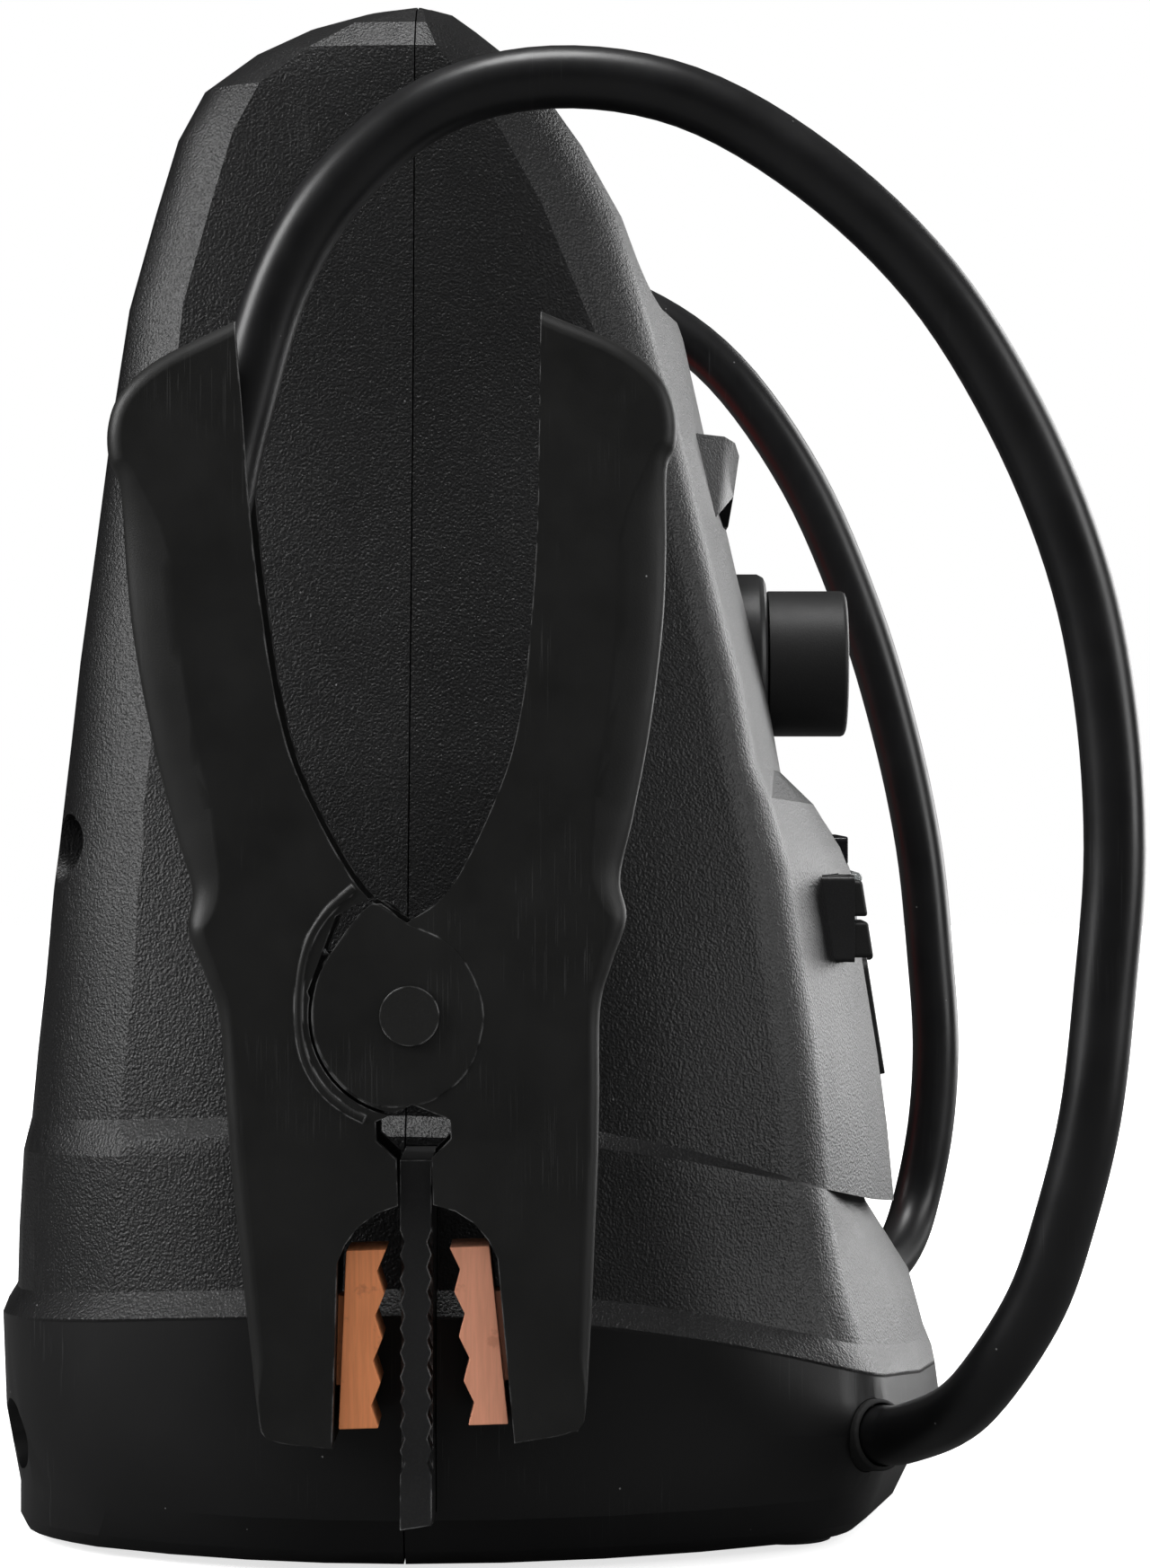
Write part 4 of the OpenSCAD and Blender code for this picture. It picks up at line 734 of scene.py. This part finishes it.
def refine(node, name, finish, width=0.0004, segments=2, angle=32, extra=None, smooth=30):
    """A node's shape with its sharp edges rounded. Edges that turn by more than smooth still shade as sharp."""
    bm = merged_copy(node)
    if extra:
        extra(bm)
    if width:
        bevel_sharp(bm, width, segments, angle)
    return add_piece(name, bm, finish, NODES[node]["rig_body"], (node,), angle=smooth)


def paint(node, finish):
    """Gives a node that keeps its own shape a material."""
    materials = NODES[node].data.materials
    materials.clear()
    materials.append(finish_of(finish))


def formed(bm, columns, rows, place):
    """A grid bent into a closed form: place gives the position for a column and a row, and open ends are filled."""
    made = bmesh.ops.create_grid(bm, x_segments=columns, y_segments=rows, size=1.0)["verts"]
    for v in made:
        v.co = place(round((v.co.x + 1) / 2 * columns), round((v.co.y + 1) / 2 * rows))
    bmesh.ops.remove_doubles(bm, verts=made, dist=1e-7)
    bmesh.ops.holes_fill(bm, edges=[e for e in bm.edges if e.is_boundary], sides=0)
    bmesh.ops.recalc_face_normals(bm, faces=bm.faces)


def carved(bm, tool, operation):
    """The first bmesh cut, joined or crossed with the second."""
    objects = [add_object("working", mesh_from("working", part)) for part in (bm, tool)]
    work = objects[0].modifiers.new("Carve", "BOOLEAN")
    work.object, work.operation, work.solver = objects[1], operation, "EXACT"
    out = bmesh.new()
    out.from_object(objects[0], bpy.context.evaluated_depsgraph_get())
    for made in objects:
        mesh = made.data
        bpy.data.objects.remove(made)
        bpy.data.meshes.remove(mesh)
    bmesh.ops.remove_doubles(out, verts=out.verts, dist=1e-6)
    bmesh.ops.dissolve_limit(out, angle_limit=radians(0.3), verts=out.verts, edges=out.edges)
    return out


def between(table, at):
    """Values for a key, read between the rows of a table that rises by its first column."""
    for low, high in zip(table, table[1:]):
        if at <= high[0]:
            share = max(0.0, (at - low[0]) / (high[0] - low[0]))
            return [a + (b - a) * share for a, b in zip(low[1:], high[1:])]
    return list(table[-1][1:])


def plate(bm, outline, low, high):
    """A flat plate with the outline, in millimetres, between two distances across."""
    n = len(outline)
    formed(bm, n, 1, lambda i, j: Vector(((low, high)[j], *outline[i % n])) * MM)


def ring_matrix(at, way, across):
    """Frame of a ring: its middle, its axis, and one of its radii."""
    side = way.cross(across).normalized()
    return Matrix((
        (across.x, side.x, way.x, at.x), (across.y, side.y, way.y, at.y),
        (across.z, side.z, way.z, at.z), (0, 0, 0, 1),
    ))


def sweep(bm, points, radius, sides=24):
    """A round tube with closed ends along the points, added to the bmesh."""
    points = [Vector(p) for p in points]
    n = len(points)
    ways = [(points[min(i + 1, n - 1)] - points[max(i - 1, 0)]).normalized() for i in range(n)]
    # Any direction will do here that no route starts along
    across = ways[0].cross(Vector((0.3, 0.5, 0.8))).normalized()
    edges = []
    for i in range(n):
        across = (across - across.dot(ways[i]) * ways[i]).normalized()
        made = bmesh.ops.create_circle(
            bm, cap_ends=i in (0, n - 1), radius=radius, segments=sides, matrix=ring_matrix(points[i], ways[i], across)
        )
        verts = made["verts"]
        ring = {e for v in verts for e in v.link_edges}
        if i:
            bmesh.ops.bridge_loops(bm, edges=list(edges) + list(ring))
        edges = ring
    bmesh.ops.recalc_face_normals(bm, faces=bm.faces)


# ---------------------------------------------------------------------------------------------------
# Operators


def soft_light(name, at, target, size, power):
    """Rectangular soft light aimed at a point."""
    data = bpy.data.lights.new(name, "AREA")
    data.shape = "RECTANGLE"
    data.size, data.size_y = size
    data.energy = power
    lamp = add_object(name, data)
    lamp.location = at
    lamp.rotation_euler = (Vector(target) - Vector(at)).to_track_quat("-Z", "Y").to_euler()


def studio_world(room_light):
    """White for the camera, even light for matt surfaces, and for reflections a dark room, paler overhead."""
    world = bpy.data.worlds.new("Studio")
    bpy.context.scene.world = world
    world.use_nodes = True
    tree = world.node_tree
    back = tree.nodes["Background"]
    path = tree.nodes.new("ShaderNodeLightPath")
    way = put(tree, "ShaderNodeSeparateXYZ", {0: tree.nodes.new("ShaderNodeTexCoord").outputs["Generated"]})
    overhead = span(tree, way.outputs["Z"], 0.2, 0.95, 0.008, 0.16)
    room = maths(tree, "MAXIMUM", maths(tree, "MULTIPLY", path.outputs["Is Diffuse Ray"], room_light), overhead)
    seen = maths(tree, "MAXIMUM", path.outputs["Is Camera Ray"], path.outputs["Is Transmission Ray"])
    level = maths(tree, "MAXIMUM", seen, room)
    tree.links.new(level, back.inputs["Strength"])
    back.inputs["Color"].default_value = grey(1.0)


def pale_floor():
    """Plain pale floor that keeps the pack's shadow."""
    bm = bmesh.new()
    bmesh.ops.create_grid(bm, x_segments=1, y_segments=1, size=4.0)
    floor = add_object("floor", mesh_from("floor", bm))
    made = bpy.data.materials.new("Pale floor")
    made.use_nodes = True
    tree = made.node_tree
    tree.nodes.remove(tree.nodes["Principled BSDF"])
    seen = tree.nodes.new("ShaderNodeLightPath").outputs["Is Camera Ray"]
    place = tree.nodes.new("ShaderNodeTexCoord").outputs["Object"]
    away = put(tree, "ShaderNodeVectorMath", {0: place}, operation="LENGTH").outputs["Value"]
    matt = put(tree, "ShaderNodeBsdfDiffuse", {"Color": span(tree, seen, 0, 1, 0.1, 0.8, smooth=False)}).outputs[0]
    level = maths(tree, "MULTIPLY", seen, span(tree, away, 0.2, 0.9, 0.72, 0.99))
    glow = put(tree, "ShaderNodeEmission", {"Color": grey(1.0), "Strength": level}).outputs[0]
    both = put(tree, "ShaderNodeAddShader", {0: matt, 1: glow}).outputs[0]
    tree.links.new(both, tree.nodes["Material Output"].inputs["Surface"])
    floor.data.materials.append(made)


class PACK_OT_stage(bpy.types.Operator):
    """Floor, lights, world and camera"""

    bl_idname = "pack.stage"
    bl_label = "Stage"

    def execute(self, context):
        s = context.scene.pack_stage
        context.scene.view_settings.view_transform = "Standard"
        data = bpy.data.cameras.new("camera")
        data.sensor_width = 36
        data.lens = s.lens
        data.clip_start, data.clip_end = 0.05, 50
        camera = add_object("camera", data)
        camera.location = CAMERA_AT
        camera.rotation_euler = (radians(90), 0, radians(-90))
        context.scene.camera = camera
        studio_world(s.room)
        pale_floor()
        for name, at, target, size, power in (
            ("key", (-0.46, 1.38, 0.83), MIDDLE, (0.6, 0.9), s.key),
            ("front", (1.05, -1.05, 0.42), MIDDLE, (0.8, 1.2), s.front),
            ("top", (-0.3, 0.08, 1.7), (-0.12, 0.02, 0.1), (0.5, 0.6), s.top),
            ("fill", (-0.5, -1.42, 0.55), MIDDLE, (0.45, 1.0), s.fill),
        ):
            soft_light(name, at, target, size, power)
        return {"FINISHED"}


class PACK_OT_cables(bpy.types.Operator):
    """The two heavy cables, each from its gland to the foot of the hollow in its clamp"""

    bl_idname = "pack.cables"
    bl_label = "Cables"

    def execute(self, context):
        s = context.scene.pack_cables
        for side, word, free in ((-1, "near", NEAR_FREE), (1, "far", FAR_FREE)):
            place = clamp_matrix(side)
            flip = Vector((-side, 1, 1))
            out = GLAND_AT * flip, (GLAND_AT + 0.008 * GLAND_WAY) * flip
            back = (GLAND_AT - 0.012 * GLAND_WAY) * flip
            handle = [place @ Vector(p) for p in LEAD_IN_HANDLE]
            route = spline_points([back, *out, *free, *handle], 6)
            bm = bmesh.new()
            sweep(bm, route, s.diameter / 2, 28)
            length = sum((b - a).length for a, b in zip(route, route[1:]))
            cable = add_piece(
                f"{word}_jump_cable", bm, "jacket", "housing",
                (f"{word}_cable", f"{word}_clamp_lead"), angle=50, weighted=False,
            )
            [tuple(p) for p in route]
        return {"FINISHED"}


class PACK_OT_housing(bpy.types.Operator):
    """The two shells, with their feet, screws, storage posts and cable sleeves"""

    bl_idname = "pack.housing"
    bl_label = "Housing"

    def execute(self, context):
        edge = context.scene.pack_housing.edge
        for end in ("rear", "front"):
            refine(f"{end}_shell", f"{end}_moulding", "housing", edge, angle=27, smooth=13.5)
        refine("feet", "rubber_feet", "rubber")
        refine("rear_screws", "shell_screws", "black_steel", 0.0002)
        for side in ("near", "far"):
            refine(f"{side}_post", f"{side}_storage_post", "post", 0.0002)
            refine(f"{side}_gland", f"{side}_cable_sleeve", "rubber", 0.0002)
        return {"FINISHED"}


def pod_sides(bm):
    """Turns the pod's sides towards the front and cuts a facet off their upper corners."""
    from_x, from_y, from_z = POD_CORNER
    side_x, side_y, side_z = POD_SIDE
    for v in bm.verts:
        if abs(v.co.x) > from_x:
            v.co.x = math.copysign(side_x, v.co.x)
            if v.co.y < from_y:
                v.co.y = side_y
            if v.co.z < from_z:
                v.co.z = side_z
    for side in (-1, 1):
        low, high, back = (Vector((side * x, y, z)) for x, y, z in POD_FACET)
        way = (high - low).cross(back - low) * -side
        bmesh.ops.bisect_plane(
            bm, geom=bm.verts[:] + bm.edges[:] + bm.faces[:], plane_co=low, plane_no=way, clear_outer=True
        )
        bmesh.ops.holes_fill(bm, edges=[e for e in bm.edges if e.is_boundary], sides=0)
    bmesh.ops.recalc_face_normals(bm, faces=bm.faces)


class PACK_OT_lamp(bpy.types.Operator):
    """Work lamp: pod, reflector, diodes and lens"""

    bl_idname = "pack.lamp"
    bl_label = "Work lamp"

    def execute(self, context):
        refine("lamp_housing", "lamp_pod", "pod", extra=pod_sides)
        refine("lamp_reflector", "lamp_mirror", "mirror", 0.0002)
        refine("lamp_board", "lamp_diodes", "led", 0.0002)
        refine("lamp_lens", "lamp_cover", "lens", 0.0003)
        return {"FINISHED"}


class PACK_OT_switch(bpy.types.Operator):
    """Rotary battery switch"""

    bl_idname = "pack.switch"
    bl_label = "Battery switch"

    def execute(self, context):
        refine("knob_bezel", "switch_collar", "trim", 0.0002)
        refine("switch_knob", "turning_knob", "knob", 0.0003)
        paint("switch_shaft", "steel")
        paint("switch_body", "inner")
        return {"FINISHED"}


class PACK_OT_controls(bpy.types.Operator):
    """Window, lights, buttons, flap and the sockets behind it"""

    bl_idname = "pack.controls"
    bl_label = "Front controls"

    def execute(self, context):
        refine("indicator_window", "charge_window", "window")
        refine("status_lights", "status_light_guides", "guide", 0)
        refine("button_bezel", "button_frame", "trim", 0.0002)
        for row in ("upper", "lower"):
            refine(f"{row}_button", f"{row}_push_button", "button", 0.0007, 3)
        refine("port_flap", "socket_flap", "flap")
        refine("outlet_socket", "outlet_barrel", "socket", 0.0003)
        refine("usb_block", "charging_ports", "socket", 0.0002)
        return {"FINISHED"}


class PACK_OT_inside(bpy.types.Operator):
    """What the closed housing hides"""

    bl_idname = "pack.inside"
    bl_label = "Inside"

    def execute(self, context):
        for node, finish in (
            ("circuit_board", "board"), ("battery", "battery"), ("battery_terminals", "brass"),
            ("battery_strap", "steel"), ("fuse", "fuse"), ("near_inner_lead", "jacket"),
            ("far_inner_lead", "red_jacket"), ("switch_link", "red_jacket"),
        ):
            paint(node, finish)
        return {"FINISHED"}


def clamp_envelope():
    """Smooth outer form of a clamp half: flat sides that round or slope off to the outline."""
    curve = [ENVELOPE_TOP] + flat_curve(CLAMP_OUTLINE, 6) + [ENVELOPE_FOOT]
    n = len(curve)
    inward = []
    for i in range(n):
        a, b = Vector(curve[max(i - 1, 0)]), Vector(curve[min(i + 1, n - 1)])
        inward.append(Vector((b.y - a.y, a.x - b.x)).normalized())
    half = len(ROUNDING_LEVELS)

    def place(i, j):
        i %= n
        level = ROUNDING_LEVELS[j if j < half else 2 * half - 1 - j]
        inset, deep, slope = between(CLAMP_ROUNDING, curve[i][1])
        turn = level * math.pi / 2
        into = inset * (slope * (1 - level) + (1 - slope) * (1 - sin(turn)))
        sloped = 0.6 * level + 0.4 * (1 - math.sqrt(1 - level ** 4))
        down = deep * (slope * sloped + (1 - slope) * (1 - cos(turn)))
        at = Vector(curve[i]) + inward[i] * into
        return Vector(((CLAMP_SIDE - down) * (-1 if j < half else 1), at.x, at.y)) * MM

    bm = bmesh.new()
    formed(bm, n, 2 * half - 1, place)
    return bm


def push_out(bm):
    """Moves the corners of a half's outline out by 1 mm, so that its envelope cuts all of its outside."""
    corners = [Vector((0, u, v)) * MM for u, v in CLAMP_OUTLINE]
    for v in bm.verts:
        near = min(range(len(corners)), key=lambda i: (corners[i].yz - v.co.yz).length)
        if (corners[near].yz - v.co.yz).length < 0.03 * MM:
            along = corners[min(near + 1, len(corners) - 1)] - corners[max(near - 1, 0)]
            v.co += Vector((0, -along.z, along.y)).normalized() * MM
    bmesh.ops.recalc_face_normals(bm, faces=bm.faces)


def clamp_half(node, name, finish, side, turned):
    """One half of a clamp: the node's hollow body with a smooth, rounded outside."""
    place = clamp_matrix(side) @ Matrix.Diagonal((1, -1 if turned else 1, 1, 1))
    bm = merged_copy(node, 0)
    bm.transform(place.inverted())
    push_out(bm)
    bm = carved(bm, clamp_envelope(), "INTERSECT")
    gap = bmesh.new()
    plate(gap, flat_curve(CLAMP_INNER, 6) + GAP_TOP, -20, 20)
    bm = carved(bm, gap, "DIFFERENCE")
    bevel_sharp(bm, 0.0003, 2, 35)
    for face in (-1, 1):
        if turned:
            leaf = bmesh.new()
            plate(leaf, flat_curve(LEAF + LEAF[:1], 4)[:-1], *(at * face for at in LEAF_FACES))
            bevel_sharp(leaf, 0.00015, 2, 60)
            join(bm, leaf)
        else:
            rim = [Vector((RIM_ACROSS * face, u, v)) * MM for u, v in flat_curve(EAR_RIM, 4)]
            sweep(bm, rim, RIM_RADIUS, 16)
    bm.transform(place)
    bmesh.ops.recalc_face_normals(bm, faces=bm.faces)
    return add_piece(name, bm, finish, NODES[node]["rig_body"], (node,), angle=35)


class PACK_OT_clamps(bpy.types.Operator):
    """The two clamps"""

    bl_idname = "pack.clamps"
    bl_label = "Clamps"

    def execute(self, context):
        for word, side in (("near", -1), ("far", 1)):
            plastic = f"{word}_clamp"
            clamp_half(f"{word}_rear_half", f"{word}_rear_handle", plastic, side, False)
            clamp_half(f"{word}_front_half", f"{word}_front_handle", plastic, side, True)
            refine(f"{word}_rear_jaw", f"{word}_rear_teeth", "copper", 0.0003)
            refine(f"{word}_front_jaw", f"{word}_front_teeth", "pale_copper", 0.0003)
            refine(f"{word}_rivet", f"{word}_pivot_rivet", "rivet", 0.0003)
            paint(f"{word}_spring", "spring")
            paint(f"{word}_spring_arm", "spring")
        return {"FINISHED"}


class PACK_PT_panel(bpy.types.Panel):
    """Settings and steps of the jump starter pack"""

    bl_label = "Jump starter pack"
    bl_idname = "PACK_PT_panel"
    bl_space_type = "VIEW_3D"
    bl_region_type = "UI"
    bl_category = "Jump starter"

    def draw(self, context):
        for holder in ("pack_stage", "pack_housing", "pack_clamps", "pack_cables"):
            settings = getattr(context.scene, holder)
            box = self.layout.box()
            for key in settings.bl_rna.properties.keys():
                if key not in ("rna_type", "name"):
                    box.prop(settings, key)
        for step in STEPS:
            self.layout.operator(step.bl_idname)


SETTINGS = {
    "pack_stage": StageSettings,
    "pack_housing": HousingSettings,
    "pack_clamps": ClampSettings,
    "pack_cables": CableSettings,
}
STEPS = (
    PACK_OT_stage, PACK_OT_cables, PACK_OT_housing, PACK_OT_lamp, PACK_OT_switch, PACK_OT_controls, PACK_OT_inside,
    PACK_OT_clamps,
)


def register():
    """Registers the settings, the operators and the panel."""
    for key, settings in SETTINGS.items():
        bpy.utils.register_class(settings)
        setattr(bpy.types.Scene, key, bpy.props.PointerProperty(type=settings))
    for step in STEPS + (PACK_PT_panel,):
        bpy.utils.register_class(step)


def unregister():
    """Takes away what register added."""
    for step in reversed(STEPS + (PACK_PT_panel,)):
        bpy.utils.unregister_class(step)
    for key, settings in reversed(SETTINGS.items()):
        delattr(bpy.types.Scene, key)
        bpy.utils.unregister_class(settings)


def main():
    """Builds everything."""
    register()
    for step in STEPS:
        group, name = step.bl_idname.split(".")
        getattr(getattr(bpy.ops, group), name)()


if __name__ == "__main__":
    main()
